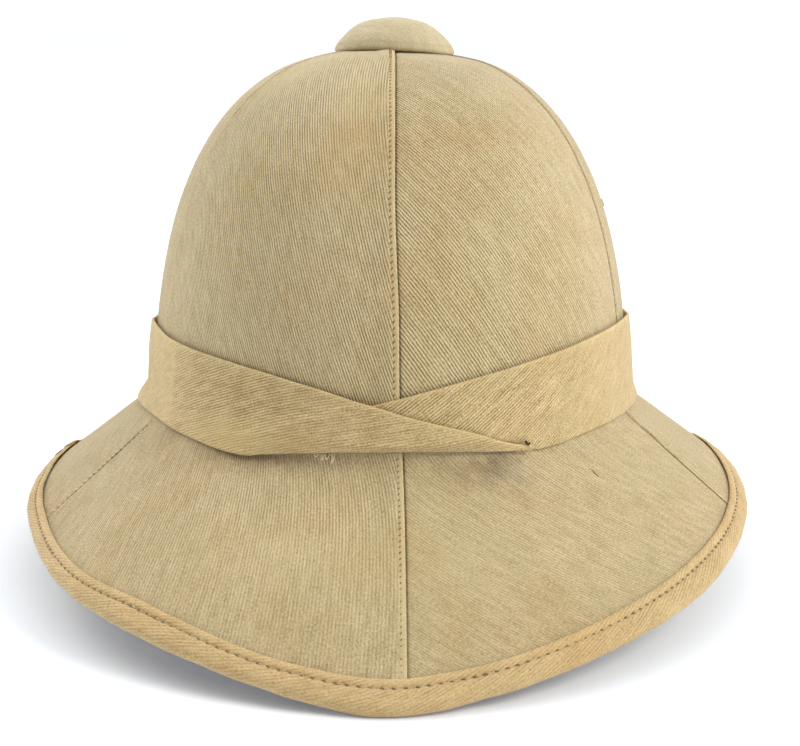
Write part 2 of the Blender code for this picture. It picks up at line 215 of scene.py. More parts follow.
# %% Measure the net once, all the way round
SECTIONS = np.stack([section(angle) for angle in NET_ANGLES])
NET = in_hat(NET_ANGLES[:, None], SECTIONS[..., 0], SECTIONS[..., 1])
round_way = np.gradient(NET, axis=0)
down_way = np.gradient(NET, axis=1)
NET_NORMALS = np.cross(down_way, round_way)
NET_NORMALS /= np.linalg.norm(NET_NORMALS, axis=-1, keepdims=True)
if (NET_NORMALS[0, CROWN_STEPS] * NET[0, CROWN_STEPS])[:2].sum() < 0:
    NET_NORMALS = -NET_NORMALS
steps = np.linalg.norm(np.diff(SECTIONS, axis=1), axis=-1)
NET_LENGTHS = np.concatenate([np.zeros((len(SECTIONS), 1)), np.cumsum(steps, axis=1)], axis=1)
ROWS = CROWN_STEPS + BRIM_STEPS + 1


def between(table, angle, row):
    """A value of the net between its columns and rows."""
    a = (signed_turn(angle) + 180.0) / NET_STEP
    r = np.clip(np.asarray(row, float), 0, ROWS - 1)
    i = np.clip(a.astype(int), 0, len(NET_ANGLES) - 2)
    j = np.clip(r.astype(int), 0, ROWS - 2)
    s, t = a - i, r - j
    if table.ndim == 3:
        s, t = s[..., None], t[..., None]
    upper = table[i, j] * (1 - s) + table[i + 1, j] * s
    lower = table[i, j + 1] * (1 - s) + table[i + 1, j + 1] * s
    return upper * (1 - t) + lower * t


def on_cover(angle, row, lift=0.0):
    """Points that lie on the cover, or stand off it by lift."""
    angle, row = np.broadcast_arrays(np.asarray(angle, float), np.asarray(row, float))
    return between(NET, angle, row) + between(NET_NORMALS, angle, row) * np.asarray(lift)[..., None]


def reach_at(angle, row):
    return between(SECTIONS[..., :1], angle, row)[..., 0]


BACK = len(NET_ANGLES) // 2
print("net of points:", NET.shape[:2])
print("crown line at the back in mm:", round(NET_LENGTHS[BACK, CROWN_STEPS] * 1000, 1))

# %% [markdown]
# ## From a grid to a piece of cloth
#
# Each cloth piece starts as Blender's grid, with as many squares as the piece has rows and columns. Its
# corners are laid on the net. It also gets a map measured in metres of cloth and turned to the weave,
# so that one twill material fits every piece whichever way it was cut.

# %% Lay a grid on a surface
def add_grid(name, columns, rows):
    """Blender's own grid, as a new object with the given numbers of points."""
    bpy.ops.object.select_all(action="DESELECT")
    bpy.ops.mesh.primitive_grid_add(x_subdivisions=columns - 1, y_subdivisions=rows - 1, size=1.0)
    piece = bpy.context.object
    piece.name = name
    piece.data.name = name
    return piece


def to_world(points):
    turned = np.asarray(TO_WORLD)
    return points @ turned[:3, :3].T + turned[:3, 3]


def lay(piece, points, cloth_map):
    """Put the grid's points, row by row, in place, and write its map."""
    flat = to_world(points.reshape(-1, 3))
    piece.data.vertices.foreach_set("co", flat.astype(np.float32).ravel())
    corners = np.zeros(len(piece.data.loops), np.int32)
    piece.data.loops.foreach_get("vertex_index", corners)
    values = cloth_map.reshape(-1, 2)[corners].astype(np.float32)
    piece.data.uv_layers.active.data.foreach_set("uv", values.ravel())
    piece.data.update()


def write_wear_and_painted_light(piece, softened, paleness, painted_shade=0.0):
    """For each point: how soft the ribs are worn, how pale the cloth is, how much painted shade it has.
    """
    painted_shade = painted_shade + 0.0 * softened
    for name, values in (("softened", softened), ("paleness", paleness), ("painted_shade", painted_shade)):
        numbers = piece.data.attributes.new(name, "FLOAT", "POINT")
        numbers.data.foreach_set("value", np.asarray(values, np.float32).ravel())


# %% Finish a laid piece
def select_only(piece):
    """Operators act on all that is selected, so this piece is selected alone."""
    bpy.ops.object.select_all(action="DESELECT")
    piece.select_set(True)
    bpy.context.view_layer.objects.active = piece


def apply_modifiers(piece):
    select_only(piece)
    for modifier in list(piece.modifiers):
        bpy.ops.object.modifier_apply(modifier=modifier.name)


def smooth(piece, angle=50.0):
    select_only(piece)
    bpy.ops.object.shade_smooth_by_angle(angle=radians(angle))


HELMET_MIDDLE = Vector((0.0, 0.0, 0.08))
MERGE_WITHIN = 0.02 * MM


def face_outwards(piece):
    """Turn the grid's faces so that they point away from the helmet's middle."""
    select_only(piece)
    inward = sum((f.center - HELMET_MIDDLE).dot(f.normal) < 0 for f in piece.data.polygons)
    if inward * 2 > len(piece.data.polygons):
        bpy.ops.object.mode_set(mode="EDIT")
        bpy.ops.mesh.select_all(action="SELECT")
        bpy.ops.mesh.flip_normals()
        bpy.ops.object.mode_set(mode="OBJECT")


def thicken(piece, thickness):
    """Give a laid sheet its thickness on the inside."""
    face_outwards(piece)
    wall = piece.modifiers.new("Thickness", "SOLIDIFY")
    wall.thickness = thickness
    wall.offset = -1.0
    wall.use_even_offset = True
    apply_modifiers(piece)


def close_up(piece, caps=False):
    """Merge the edges that meet, fill open ends where there are any, and turn the faces outwards."""
    select_only(piece)
    bpy.ops.object.mode_set(mode="EDIT")
    bpy.ops.mesh.select_all(action="SELECT")
    bpy.ops.mesh.remove_doubles(threshold=MERGE_WITHIN)
    if caps:
        bpy.ops.mesh.fill_holes(sides=0)
    bpy.ops.mesh.select_all(action="SELECT")
    bpy.ops.mesh.normals_make_consistent(inside=False)
    bpy.ops.object.mode_set(mode="OBJECT")


def report(piece):
    triangles = sum(len(face.vertices) - 2 for face in piece.data.polygons)
    print(piece.name, "has", triangles, "triangles")


# %% [markdown]
# ## Twill
#
# Cotton twill shows slanting ribs, here about a millimetre apart. The material draws them as a wave
# across the map, breaks each rib into yarns with a second, finer wave, and lets noise wander through
# both, so that no two ribs are alike. The same height drives the bump and the colour: the ribs are worn
# pale, and the valleys are darker, partly the brown they keep and partly painted shade. Larger noises
# give the mottling and the fading of an old hat.

# %% Small helpers for node trees
def new_material(name, roughness, metallic=0.0):
    """A material, its node tree, its shader, and the place of each point on the piece."""
    material = bpy.data.materials.new(name)
    material.use_nodes = True
    tree = material.node_tree
    shader = tree.nodes["Principled BSDF"]
    shader.inputs["Roughness"].default_value = roughness
    shader.inputs["Metallic"].default_value = metallic
    return material, tree, shader, node(tree, "ShaderNodeTexCoord").outputs["Object"]


def node(tree, kind, **settings):
    made = tree.nodes.new(kind)
    for key, value in settings.items():
        setattr(made, key, value)
    return made


def feed(tree, source, target):
    tree.links.new(source, target)


def give(tree, socket, value):
    """Set a socket to a number or a colour, or link another node's output to it."""
    if isinstance(value, (int, float)):
        socket.default_value = value
    elif isinstance(value, tuple):
        socket.default_value = (*value, 1.0)
    else:
        feed(tree, value, socket)


def math(tree, operation, *values):
    made = node(tree, "ShaderNodeMath", operation=operation)
    for socket, value in zip(made.inputs, values):
        give(tree, socket, value)
    return made.outputs[0]


def mix_colours(tree, share, first, second, blend="MIX"):
    made = node(tree, "ShaderNodeMix", data_type="RGBA", blend_type=blend)
    for place, value in ((0, share), (6, first), (7, second)):
        give(tree, made.inputs[place], value)
    return made.outputs[2]


def noise_at(tree, vector, scale, detail=2.0, roughness=0.5):
    made = node(tree, "ShaderNodeTexNoise")
    made.inputs["Scale"].default_value = scale
    made.inputs["Detail"].default_value = detail
    made.inputs["Roughness"].default_value = roughness
    feed(tree, vector, made.inputs["Vector"])
    return made.outputs["Fac"]


def stretched(tree, vector, sizes, turn=0.0):
    made = node(tree, "ShaderNodeMapping")
    made.inputs["Scale"].default_value = sizes
    made.inputs["Rotation"].default_value = (0.0, 0.0, turn)
    feed(tree, vector, made.inputs["Vector"])
    return made.outputs["Vector"]


def ramp(tree, value, low, high, start=0.0, end=1.0):
    made = node(tree, "ShaderNodeMapRange", interpolation_type="SMOOTHSTEP")
    for socket, number in zip(made.inputs[1:5], (low, high, start, end)):
        socket.default_value = number
    feed(tree, value, made.inputs[0])
    return made.outputs[0]


# %% Helpers for ribs, relief and plain finishes
def ribs(tree, vector, spacing, wander, wander_scale):
    """A wave whose crests lie spacing apart across the map's first direction."""
    made = node(tree, "ShaderNodeTexWave", wave_type="BANDS", bands_direction="X", wave_profile="SIN")
    made.inputs["Scale"].default_value = 2 * pi / 20 / spacing
    made.inputs["Distortion"].default_value = wander
    made.inputs["Detail"].default_value = 2.0
    made.inputs["Detail Scale"].default_value = wander_scale
    feed(tree, vector, made.inputs["Vector"])
    return made.outputs["Fac"]


def add_bump(tree, shader, height, distance):
    bump = node(tree, "ShaderNodeBump")
    bump.inputs["Strength"].default_value = 1.0
    bump.inputs["Distance"].default_value = distance
    feed(tree, height, bump.inputs["Height"])
    feed(tree, bump.outputs[0], shader.inputs["Normal"])


def noisy_material(name, first, second, scale, roughness, detail=2.0, breakup=0.6, metallic=0.0):
    """A material whose colour wanders between two."""
    material, tree, shader, here = new_material(name, roughness, metallic)
    share = noise_at(tree, here, scale, detail, breakup)
    feed(tree, mix_colours(tree, share, first, second), shader.inputs["Base Color"])
    return material


# %% The twill material
RIB = 1.0 * MM
YARN = 0.62 * RIB
YARN_TURN = radians(66)
RIB_SHARE, YARN_SHARE, WAVE_MIDDLE = 0.70, 0.22, 0.46
FUZZ_SHARE, SLUB_SHARE, SOFT_YARNS = 1.20, 0.62, 0.4
HEIGHT_RANGE = 0.44
RAGGED = 2.6
# Paleness lifts the cloth towards a paler tint: wear, and along folded edges a painted highlight.
PALENESS_TINT = (1.04, 1.01, 0.88)
PALENESS_SHARE = 0.6
# Painted shade: the colour multiplied in under the band's lower roll, where its foot stands off the
# brim.
PAINTED_SHADE_COLOUR = (0.42, 0.35, 0.27)
MOTTLING = (
    # brown clouds, grey-green clouds, specks:
    # stretch,        scale, detail, breakup, from, to,   most, tint
    ((1.0, 1.0, 0.7), 36,    5.0,    0.62,    0.42, 0.66, 0.42, (0.93, 0.83, 0.69)),
    ((1.2, 1.2, 0.8), 23,    4.0,    0.60,    0.40, 0.62, 0.40, (0.86, 0.90, 0.84)),
    ((1.0, 1.0, 1.0), 330,   3.0,    0.75,    0.57, 0.72, 0.40, (0.86, 0.66, 0.42)),
)


def spot_share(tree, here, place, size):
    """1 in the middle of a ragged spot and 0 outside it."""
    spot = node(tree, "ShaderNodeMapping", vector_type="TEXTURE")
    spot.inputs["Location"].default_value = TO_WORLD @ Vector(place)
    spot.inputs["Scale"].default_value = size
    feed(tree, here, spot.inputs["Vector"])
    length = node(tree, "ShaderNodeVectorMath", operation="LENGTH")
    feed(tree, spot.outputs[0], length.inputs[0])
    wander = noise_at(tree, here, 62, 4.0, 0.62)
    ragged = math(tree, "MULTIPLY_ADD", wander, RAGGED, length.outputs["Value"])
    return ramp(tree, ragged, RAGGED / 2 + 1.05, RAGGED / 2 + 0.05)


def weave_height(tree, uv, softened, contrast, roughness):
    """Ribs broken by yarns, weaker where the cloth is worn, with fuzz and slubs over both."""
    big = ribs(tree, uv, RIB, 1.3, 0.9)
    fine = ribs(tree, stretched(tree, uv, (1, 1, 1), YARN_TURN), YARN, 1.2, 1.4)
    fuzz = noise_at(tree, stretched(tree, uv, (1, 0.5, 1)), 2100, 2.0, 0.7)
    slub = noise_at(tree, stretched(tree, uv, (1, 0.16, 1)), 620, 3.0, 0.6)
    worn = noise_at(tree, stretched(tree, uv, (1, 0.35, 1)), 210, 3.0, 0.6)
    worn = ramp(tree, worn, 0.36, 0.64, 0.55, 1.0)
    strength = math(tree, "MULTIPLY", math(tree, "MULTIPLY_ADD", softened, -contrast, contrast), worn)
    waves = math(tree, "MULTIPLY_ADD", fine, YARN_SHARE, math(tree, "MULTIPLY", big, RIB_SHARE))
    waves = math(tree, "MULTIPLY", math(tree, "SUBTRACT", waves, WAVE_MIDDLE), strength)
    yarns = math(tree, "MULTIPLY", math(tree, "SUBTRACT", fuzz, 0.5), FUZZ_SHARE)
    yarns = math(tree, "MULTIPLY_ADD", math(tree, "SUBTRACT", slub, 0.5), SLUB_SHARE, yarns)
    evenness = math(tree, "MULTIPLY_ADD", softened, -SOFT_YARNS * roughness, roughness)
    return math(tree, "MULTIPLY_ADD", yarns, evenness, waves)


def twill(name, pale, deep, contrast=1.0, roughness=1.0, relief=0.20 * MM, marks=()):
    """Cloth with slanting ribs. contrast is the ribs' strength and roughness that of the yarns.
    marks are stains and spots of painted shade: place in hat axes, size, strength and colour."""
    material, tree, shader, here = new_material(name, 0.92)
    uv = node(tree, "ShaderNodeUVMap").outputs[0]
    softened, paleness, painted_shade = [
        node(tree, "ShaderNodeAttribute", attribute_name=age).outputs["Fac"]
        for age in ("softened", "paleness", "painted_shade")]
    height = weave_height(tree, uv, softened, contrast, roughness)
    # Pale ribs and deep valleys: partly the worn dye, partly painted shade in the valleys.
    colour = mix_colours(tree, ramp(tree, height, -HEIGHT_RANGE, HEIGHT_RANGE), deep, pale)
    # Paleness: worn cloth, and along folded edges a painted highlight.
    pale_colour = tuple(value * change for value, change in zip(pale, PALENESS_TINT))
    colour = mix_colours(tree, math(tree, "MULTIPLY", paleness, PALENESS_SHARE), colour, pale_colour)
    # Painted shade, multiplied in where the piece's attribute asks for it.
    colour = mix_colours(tree, painted_shade, colour, PAINTED_SHADE_COLOUR, "MULTIPLY")
    for sizes, scale, detail, breakup, low, high, most, tint in MOTTLING:
        cloud = noise_at(tree, stretched(tree, here, sizes), scale, detail, breakup)
        colour = mix_colours(tree, ramp(tree, cloud, low, high, 0.0, most), colour, tint, "MULTIPLY")
    for place, size, most, spot_colour in marks:
        share = math(tree, "MULTIPLY", spot_share(tree, here, place, size), most)
        colour = mix_colours(tree, share, colour, spot_colour, "MULTIPLY")
    feed(tree, colour, shader.inputs["Base Color"])
    shader.inputs["Specular IOR Level"].default_value = 0.25
    shader.inputs["Sheen Weight"].default_value = 0.20
    shader.inputs["Sheen Roughness"].default_value = 0.5
    add_bump(tree, shader, height, relief)
    material.diffuse_color = (*pale, 1.0)
    return material


# %% Dye the four twills
COVER_PALE = (0.715, 0.585, 0.355)
COVER_DEEP = (0.258, 0.180, 0.070)
BAND_PALE = (0.765, 0.595, 0.322)
BAND_DEEP = (0.275, 0.180, 0.065)
TAPE_PALE = (0.752, 0.556, 0.290)
TAPE_DEEP = (0.360, 0.235, 0.095)
BUTTON_PALE = (0.684, 0.578, 0.372)
BUTTON_DEEP = (0.400, 0.320, 0.178)
RUST = (0.90, 0.81, 0.70)
BROWN_STAIN_AND_SHADE = (0.77, 0.71, 0.68)
GREYED = (0.76, 0.78, 0.83)
LEFT_BRIM_SHADE = (0.86, 0.84, 0.80)
COVER_MARKS = (
    # place in hat axes,          half sizes,             strength, colour
    ((-0.028, -0.082, 0.1085), (0.050, 0.030, 0.0050), 0.28, RUST),
    ((0.030, -0.078, 0.1085), (0.050, 0.034, 0.0085), 0.45, RUST),
    ((0.0290, -0.115, -0.0030), (0.022, 0.020, 0.0075), 0.95, BROWN_STAIN_AND_SHADE),
    ((0.0410, -0.116, -0.0065), (0.015, 0.018, 0.0105), 1.00, GREYED),
    # The next four brown spots are painted shadow under the left side of the band's foot.
    ((-0.0350, -0.108, -0.0030), (0.040, 0.018, 0.0050), 0.60, BROWN_STAIN_AND_SHADE),
    ((-0.0450, -0.1105, -0.0015), (0.022, 0.012, 0.0045), 0.70, BROWN_STAIN_AND_SHADE),
    ((-0.0900, -0.075, 0.0010), (0.018, 0.028, 0.0050), 0.85, BROWN_STAIN_AND_SHADE),
    ((-0.0680, -0.094, -0.0005), (0.020, 0.016, 0.0036), 0.60, BROWN_STAIN_AND_SHADE),
    ((0.0400, -0.1110, -0.0015), (0.014, 0.012, 0.0050), 0.80, GREYED),
    # Painted shade: the far left of the brim is darker where less light reaches it.
    ((-0.1220, -0.080, -0.0300), (0.028, 0.040, 0.0220), 0.50, LEFT_BRIM_SHADE),
)
cover_twill = twill("cover_twill", COVER_PALE, COVER_DEEP, contrast=1.1, marks=COVER_MARKS)
band_twill = twill("band_twill", BAND_PALE, BAND_DEEP, contrast=0.93, roughness=1.3)
edge_tape = twill("edge_tape", TAPE_PALE, TAPE_DEEP, contrast=0.62)
button_cloth = twill("button_cloth", BUTTON_PALE, BUTTON_DEEP, 0.22, 0.8, relief=0.12 * MM)
print("twills:", [m.name for m in (cover_twill, band_twill, edge_tape, button_cloth)])

# %% [markdown]
# ## The six gores
#
# The cover is cut in six gores. At each seam one gore is folded under and lapped over its neighbour,
# and a row of stitches runs just inside the fold. So the gores alternate: three lie on top at both
# edges, three lie beneath. The columns of each grid crowd together at its edges, where the fold stands
# up, dips under the thread and falls away again. On the brim the side folds are pressed nearly flat.

# %% The seams, their folds and the weave
# The ribs' spacing and direction on the crown, and five numbers for the brim that cloth_map explains.
OVER_WEAVE = ((0.945, 112.2), (0.97, 0.50, 0.05, 0.42, 0.022))
UNDER_WEAVE = ((1.175, 124.6), (0.705, 0.73, -0.875, -0.50, 0.018))
GORES = (
    # name,               first seam, last seam, lies on top
    ("panel_rear_right",   1.25,  62.9,  False),
    ("panel_side_right",   62.9,  121.5, True),
    ("panel_front_right",  121.5, 180.5, False),
    ("panel_front_left",   180.5, 239.5, True),
    ("panel_side_left",    239.5, 299.6, False),
    ("panel_rear_left",    299.6, 361.25, True),
)
REAR_SEAM = (
    # height over the ring, how far the seam lies to the right of the middle
    (-0.0651, 0.0059),
    (-0.0370, 0.0055),
    (-0.0170, 0.0051),
    (0.0,     0.0044),
    (0.0220,  0.0033),
    (0.0480,  0.0030),
    (0.0710,  0.0021),
    (0.0870,  0.0016),
    (0.1350,  0.0015),
    (0.1403,  0.0014),
)
OVER_EDGE = np.array([
    # inside the fold, height over the cover
    (0.40, 0.04),
    (0.14, 0.10),
    (0.00, 0.34),
    (0.05, 0.56),
    (0.18, 0.74),
    (0.42, 0.85),
    (0.75, 0.87),
    (1.10, 0.80),
    (1.40, 0.68),
    (1.70, 0.60),
    (2.00, 0.66),
    (2.40, 0.78),
    (3.00, 0.82),
    (4.00, 0.68),
    (5.20, 0.42),
    (6.60, 0.16),
    (8.00, 0.00),
]) * MM
UNDER_EDGE = np.array([(x, 0.0) for x in (-2.0, -1.0, 0.0, 0.25, 0.5, 0.8, 1.5, 2.6, 4.0, 8.0)]) * MM
REAR_DIP = np.array([0.50, 0.70, 0.74, 0.62, 0.20, 0.02, 0.0, 0.0, 0.0, 0.0]) * MM
PRESSED_FLAT = 0.45
FOLD_NARROWS = 0.024
FOLD_STARTS = ((4, 16), (0.5, 1.0))
BRIM_FLATTENS = ((CROWN_STEPS + 6, CROWN_STEPS + 18), (1.0, 0.15))
DIP_FADES = ((ROWS - 30, ROWS), (1.0, 0.45))
MIDDLE_COLUMNS = 22
print("gores:", len(GORES), "columns across a gore:", 2 * len(OVER_EDGE) + MIDDLE_COLUMNS)


# %% Ease, unevenness and where a seam runs
def eased(value):
    value = np.clip(value, 0.0, 1.0)
    return value * value * (3 - 2 * value)


def unevenness(points, waves):
    """Slow unevenness of old cloth: each wave has a size and a height."""
    total = 0.0
    for size, height in waves:
        values = [noise.noise(Vector(point) / size) for point in points.reshape(-1, 3)]
        total = total + height * np.array(values).reshape(points.shape[:-1])
    return total


def at_rear(seam):
    return abs(signed_turn(seam)) < 5


def seam_angles(nominal, rows):
    """Where a seam runs, row by row. Five seams lie in a plane; the rear one drifts to the right."""
    rows = np.asarray(rows, float)
    if not at_rear(nominal):
        return np.full(rows.shape, float(nominal))
    here = between(SECTIONS, np.full(rows.shape, 1.5), rows)
    aside = smooth_curve(REAR_SEAM, 1, here[..., 1])
    drift = np.degrees(np.arcsin(np.clip(aside / here[..., 0], 0, 0.12)))
    return drift + (360.0 if nominal > 180 else 0.0)


# %% The top of the crown and the grid of one gore
TOP_SINK = 0.55 * MM
TOP_SINK_RIGHT = 0.80 * MM
TOP_SINK_FROM = 0.046
TOP_SINK_OVER = 0.022


def near_vent(reach):
    """0 down the crown, rising to 1 towards the vent."""
    return eased((TOP_SINK_FROM - reach) / TOP_SINK_OVER)


def top_sinks(reach, angle):
    """The cloth sinks round the vent, and more on the right, where the gores lie underneath."""
    on_right = eased((reach * np.sin(np.radians(angle)) + 0.5 * MM) / (3 * MM))
    return (TOP_SINK + TOP_SINK_RIGHT * on_right) * near_vent(reach)


def gore_grid(first, last, on_top):
    """Angles, lifts and distances from the nearer seam, for the rows and columns of one gore. The rear
    fold stands up, and beside it the cloth is drawn down; the other folds are pressed flatter."""
    edge = OVER_EDGE if on_top else UNDER_EDGE
    rows = np.arange(ROWS)
    starts_rear, ends_rear = at_rear(first), at_rear(last)
    first = seam_angles(first, rows)
    last = seam_angles(last, rows)
    reach = reach_at((first + last) / 2, rows)
    width = np.radians(last - first) * reach
    scale = np.minimum(1.0, width / FOLD_NARROWS)[:, None]
    left = edge[None, :, 0] * scale
    right = width[:, None] - left[:, ::-1]
    share = np.linspace(0, 1, MIDDLE_COLUMNS + 2)[1:-1][None, :]
    inner = left[:, -1:] + (right[:, :1] - left[:, -1:]) * share
    across = np.concatenate([left, inner, right], axis=1)
    angle = first[:, None] + (last - first)[:, None] * across / width[:, None]
    rise = edge[None, :, 1] * scale * np.interp(rows, *FOLD_STARTS)[:, None]
    pressed = PRESSED_FLAT * np.interp(rows, *BRIM_FLATTENS)[:, None]
    start = rise * (1.0 if starts_rear else pressed)
    end = rise[:, ::-1] * (1.0 if ends_rear else pressed)
    if starts_rear and not on_top:
        start = start - REAR_DIP[None, :] * np.interp(rows, *DIP_FADES)[:, None]
    lift = np.concatenate([start, 0 * inner, end], axis=1)
    return angle, lift, np.minimum(across, width[:, None] - across)


# %% Where the cover is worn and pale, and where its folds get a painted highlight
PALE_PLACES = (
    # angle and half width, reach and half width, how pale
    (-5.0,  22.0, 0.146, 0.015, 0.32),
    (-9.0,  8.0,  0.078, 0.022, 0.45),
    (-52.0, 26.0, 0.052, 0.012, 0.55),
)
BRIM_SOFT_RIGHT = (0.70, 0.12)
BRIM_SOFT = (0.46, 0.32)
WORN_FROM, WORN_OVER = 0.135, 0.035
BRIM_BEGINS = 0.125
TOP_WORN_FROM, TOP_WORN_OVER = 0.054, 0.020
FOLD_MIDDLE, FOLD_HALF_WIDTH = 0.9 * MM, 1.1 * MM


def gore_wear_and_highlight(angle, rows, inside, on_top):
    """Softened ribs and pale edges: the folds are pale, partly from wear and partly as a painted
    highlight where the lapped edge bulges, and the brim has worn smoother than the crown, most of all on
    the right."""
    turn = signed_turn(angle)
    reach = reach_at(angle, rows)
    fold = np.exp(-((inside - FOLD_MIDDLE) / FOLD_HALF_WIDTH) ** 2) * on_top
    outwards = np.clip((reach - WORN_FROM) / WORN_OVER, 0, 1)
    on_right = (turn > 1) & (turn < 63)
    brim_right, brim_else = [near + more * outwards for near, more in (BRIM_SOFT_RIGHT, BRIM_SOFT)]
    brim = np.where(on_right, brim_right, brim_else)
    crown = np.where(on_right, 0.08 + 0.50 * eased((turn - 20) / 40), 0.0)
    crown = np.maximum(crown, 0.95 * eased((TOP_WORN_FROM - reach) / TOP_WORN_OVER))
    softened = np.where(rows > CROWN_STEPS - 3, brim, crown)
    # The folds' paleness is partly a painted highlight along the lapped edge.
    pale = np.where(np.abs(turn) < 30, 0.8, 0.45) * fold
    for middle, width, far, depth, share in PALE_PLACES:
        spot = np.exp(-((turn - middle) / width) ** 2 - ((reach - far) / depth) ** 2)
        pale = pale + share * spot * ((rows > CROWN_STEPS) == (far > BRIM_BEGINS))
    return np.maximum(softened, 0.85 * fold), np.clip(pale, 0, 1)


# %% The map of a gore's weave
def cloth_map(angle, rows, first, last, weave):
    """Metres of cloth, turned so that the first number runs across the ribs.

    On the crown the ribs are straight lines of the flat cloth: spacing and direction say which.
    On the brim the cloth was pulled: across is the ribs' number to a millimetre, fan says how they
    spread towards the edge, far is their lean there, and near is the lean that fades from the ring."""
    (spacing, direction), (across, fan, far, near, fade) = weave
    reach = reach_at(angle, rows)
    down = between(NET_LENGTHS[..., None], angle, rows)[..., 0]
    direction = radians(direction)
    middle = (first + last) / 2
    crown_u = np.radians(angle - middle) * reach
    crown_ribs = (crown_u * sin(direction) + down * cos(direction)) / spacing
    crown_run = (crown_u * cos(direction) - down * sin(direction)) / spacing
    seam = first if abs(signed_turn(first)) < abs(signed_turn(last)) else last
    ring_row = np.full(angle.shape, float(CROWN_STEPS))
    past = down - between(NET_LENGTHS[..., None], angle, ring_row)[..., 0]
    brim_u = across * np.radians(angle - seam) * CROWN_HALF_LENGTH
    brim_u = brim_u * (reach / CROWN_HALF_LENGTH) ** fan
    brim_ribs = brim_u + far * past + near * fade * np.exp(-past / fade)
    brim_run = brim_u * far - past * max(across, 0.5)
    on_crown = rows <= CROWN_STEPS - 3
    first_way = np.where(on_crown, crown_ribs, brim_ribs)
    return np.stack([first_way, np.where(on_crown, crown_run, brim_run)], -1)


# %% Cut and lay the gores
GORE_WAVES = ((30 * MM, 0.16 * MM), (8 * MM, 0.07 * MM))
GORE_CLOTH = 0.40 * MM
for name, first, last, on_top in GORES:
    angle, lift, inside = gore_grid(first, last, on_top)
    rows = np.repeat(np.arange(ROWS)[:, None], angle.shape[1], axis=1)
    base = on_cover(angle, rows)
    lift = lift + unevenness(base, GORE_WAVES)
    lift = lift - top_sinks(np.hypot(base[..., 0], base[..., 1]), angle)
    points = on_cover(angle, rows, lift)
    gore = add_grid(name.replace("panel", "gore"), angle.shape[1], ROWS)
    weave = OVER_WEAVE if on_top else UNDER_WEAVE
    lay(gore, points, cloth_map(angle, rows, first, last, weave))
    write_wear_and_painted_light(gore, *gore_wear_and_highlight(angle, rows, inside, on_top))
    thicken(gore, GORE_CLOTH)
    smooth(gore, 60)
    gore.data.materials.append(cover_twill)
    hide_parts(name)
    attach(gore, "root")
    report(gore)

# %% [markdown]
# ## Rows of stitches
#
# One stitch is a short thread with a dark bead beside it, painted shade for the needle hole. It is
# modelled once, at the origin, along X. An Array makes the row and a Curve modifier bends the row along
# its seam. The curve keeps its side upright, so a hole that lies aslant stays aslant. A little noise
# then shifts the stitches. Its seed is set, because Blender takes one from the clock otherwise, and no
# two runs would sew alike.

# %% One stitch, and how to sew with it
thread = noisy_material("sewing_thread", (0.45, 0.33, 0.17), (0.62, 0.49, 0.29), 900, 0.8)
# The needle hole is a dark bead: painted shade where the thread enters the cloth.
needle_hole = noisy_material("needle_hole", (0.180, 0.112, 0.047), (0.320, 0.210, 0.100), 700, 1.0)
print("the thread's materials:", thread.name, "and", needle_hole.name)


def add_bead(place, size, material):
    """A small ball, drawn out along X to the given half sizes."""
    bpy.ops.object.select_all(action="DESELECT")
    bpy.ops.mesh.primitive_uv_sphere_add(segments=8, ring_count=6, radius=1.0, location=(0, 0, 0))
    bead = bpy.context.object
    bpy.ops.object.mode_set(mode="EDIT")
    bpy.ops.mesh.select_all(action="SELECT")
    bpy.ops.transform.rotate(value=pi / 2, orient_axis="Y", center_override=(0, 0, 0))
    bpy.ops.transform.resize(value=size)
    bpy.ops.transform.translate(value=place)
    bpy.ops.object.mode_set(mode="OBJECT")
    bead.data.materials.append(material)
    return bead


def lay_curve(name, points):
    line = bpy.data.curves.new(name, "CURVE")
    line.dimensions = "3D"
    line.twist_mode = "Z_UP"
    spline = line.splines.new("POLY")
    spline.points.add(len(points) - 1)
    for target, point in zip(spline.points, points):
        target.co = (*point, 1.0)
    thing = bpy.data.objects.new(name, line)
    bpy.context.scene.collection.objects.link(thing)
    return thing


# %% A row of stitches
UNEVEN_STITCH = 0.16 * MM
UNEVEN_OVER = 3.1 * MM
HOLE_STRETCH = 1.9
THREAD_MIDDLE = 0.55
STITCH_SEED = 7
noise.seed_set(STITCH_SEED)


def sew(name, points, pitch, length, thickness, hole, slant=0.0):
    """A row of stitches of the given pitch along points in hat axes. The holes may lie aslant."""
    points = to_world(points)
    total = np.linalg.norm(np.diff(points, axis=0), axis=1).sum()
    count = max(int(total / pitch), 1)
    pitch = total / count
    thread_bead = add_bead((pitch * THREAD_MIDDLE, 0, 0), (length / 2, thickness, thickness), thread)
    hole_bead = add_bead((0, 0, 0), (hole * HOLE_STRETCH, hole, hole), needle_hole)
    bpy.ops.object.mode_set(mode="EDIT")
    bpy.ops.mesh.select_all(action="SELECT")
    bpy.ops.transform.rotate(value=radians(slant), orient_axis="Z", center_override=(0, 0, 0))
    bpy.ops.transform.translate(value=(hole * 2, 0, 0))
    bpy.ops.object.mode_set(mode="OBJECT")
    select_only(thread_bead)
    hole_bead.select_set(True)
    bpy.ops.object.join()
    row = bpy.context.object
    row.name = name
    row.data.name = name
    array = row.modifiers.new("Row", "ARRAY")
    array.fit_type = "FIXED_COUNT"
    array.count = count
    array.use_relative_offset = False
    array.use_constant_offset = True
    array.constant_offset_displace = (pitch, 0, 0)
    line = lay_curve(name + "_line", points)
    bend = row.modifiers.new("Seam", "CURVE")
    bend.object = line
    bend.deform_axis = "POS_X"
    apply_modifiers(row)
    bpy.data.objects.remove(line)
    for corner in row.data.vertices:
        corner.co += noise.noise_vector(corner.co / UNEVEN_OVER) * UNEVEN_STITCH
    smooth(row, 80)
    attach(row, "root")
    report(row)


# %% Topstitch the seams
def row_of_height(angle, height):
    """The net's crown row at a height over the ring."""
    heights = [between(SECTIONS[..., 1:2], angle, r)[0] for r in range(CROWN_STEPS + 1)]
    return float(np.interp(-height, -np.array(heights), np.arange(CROWN_STEPS + 1)))


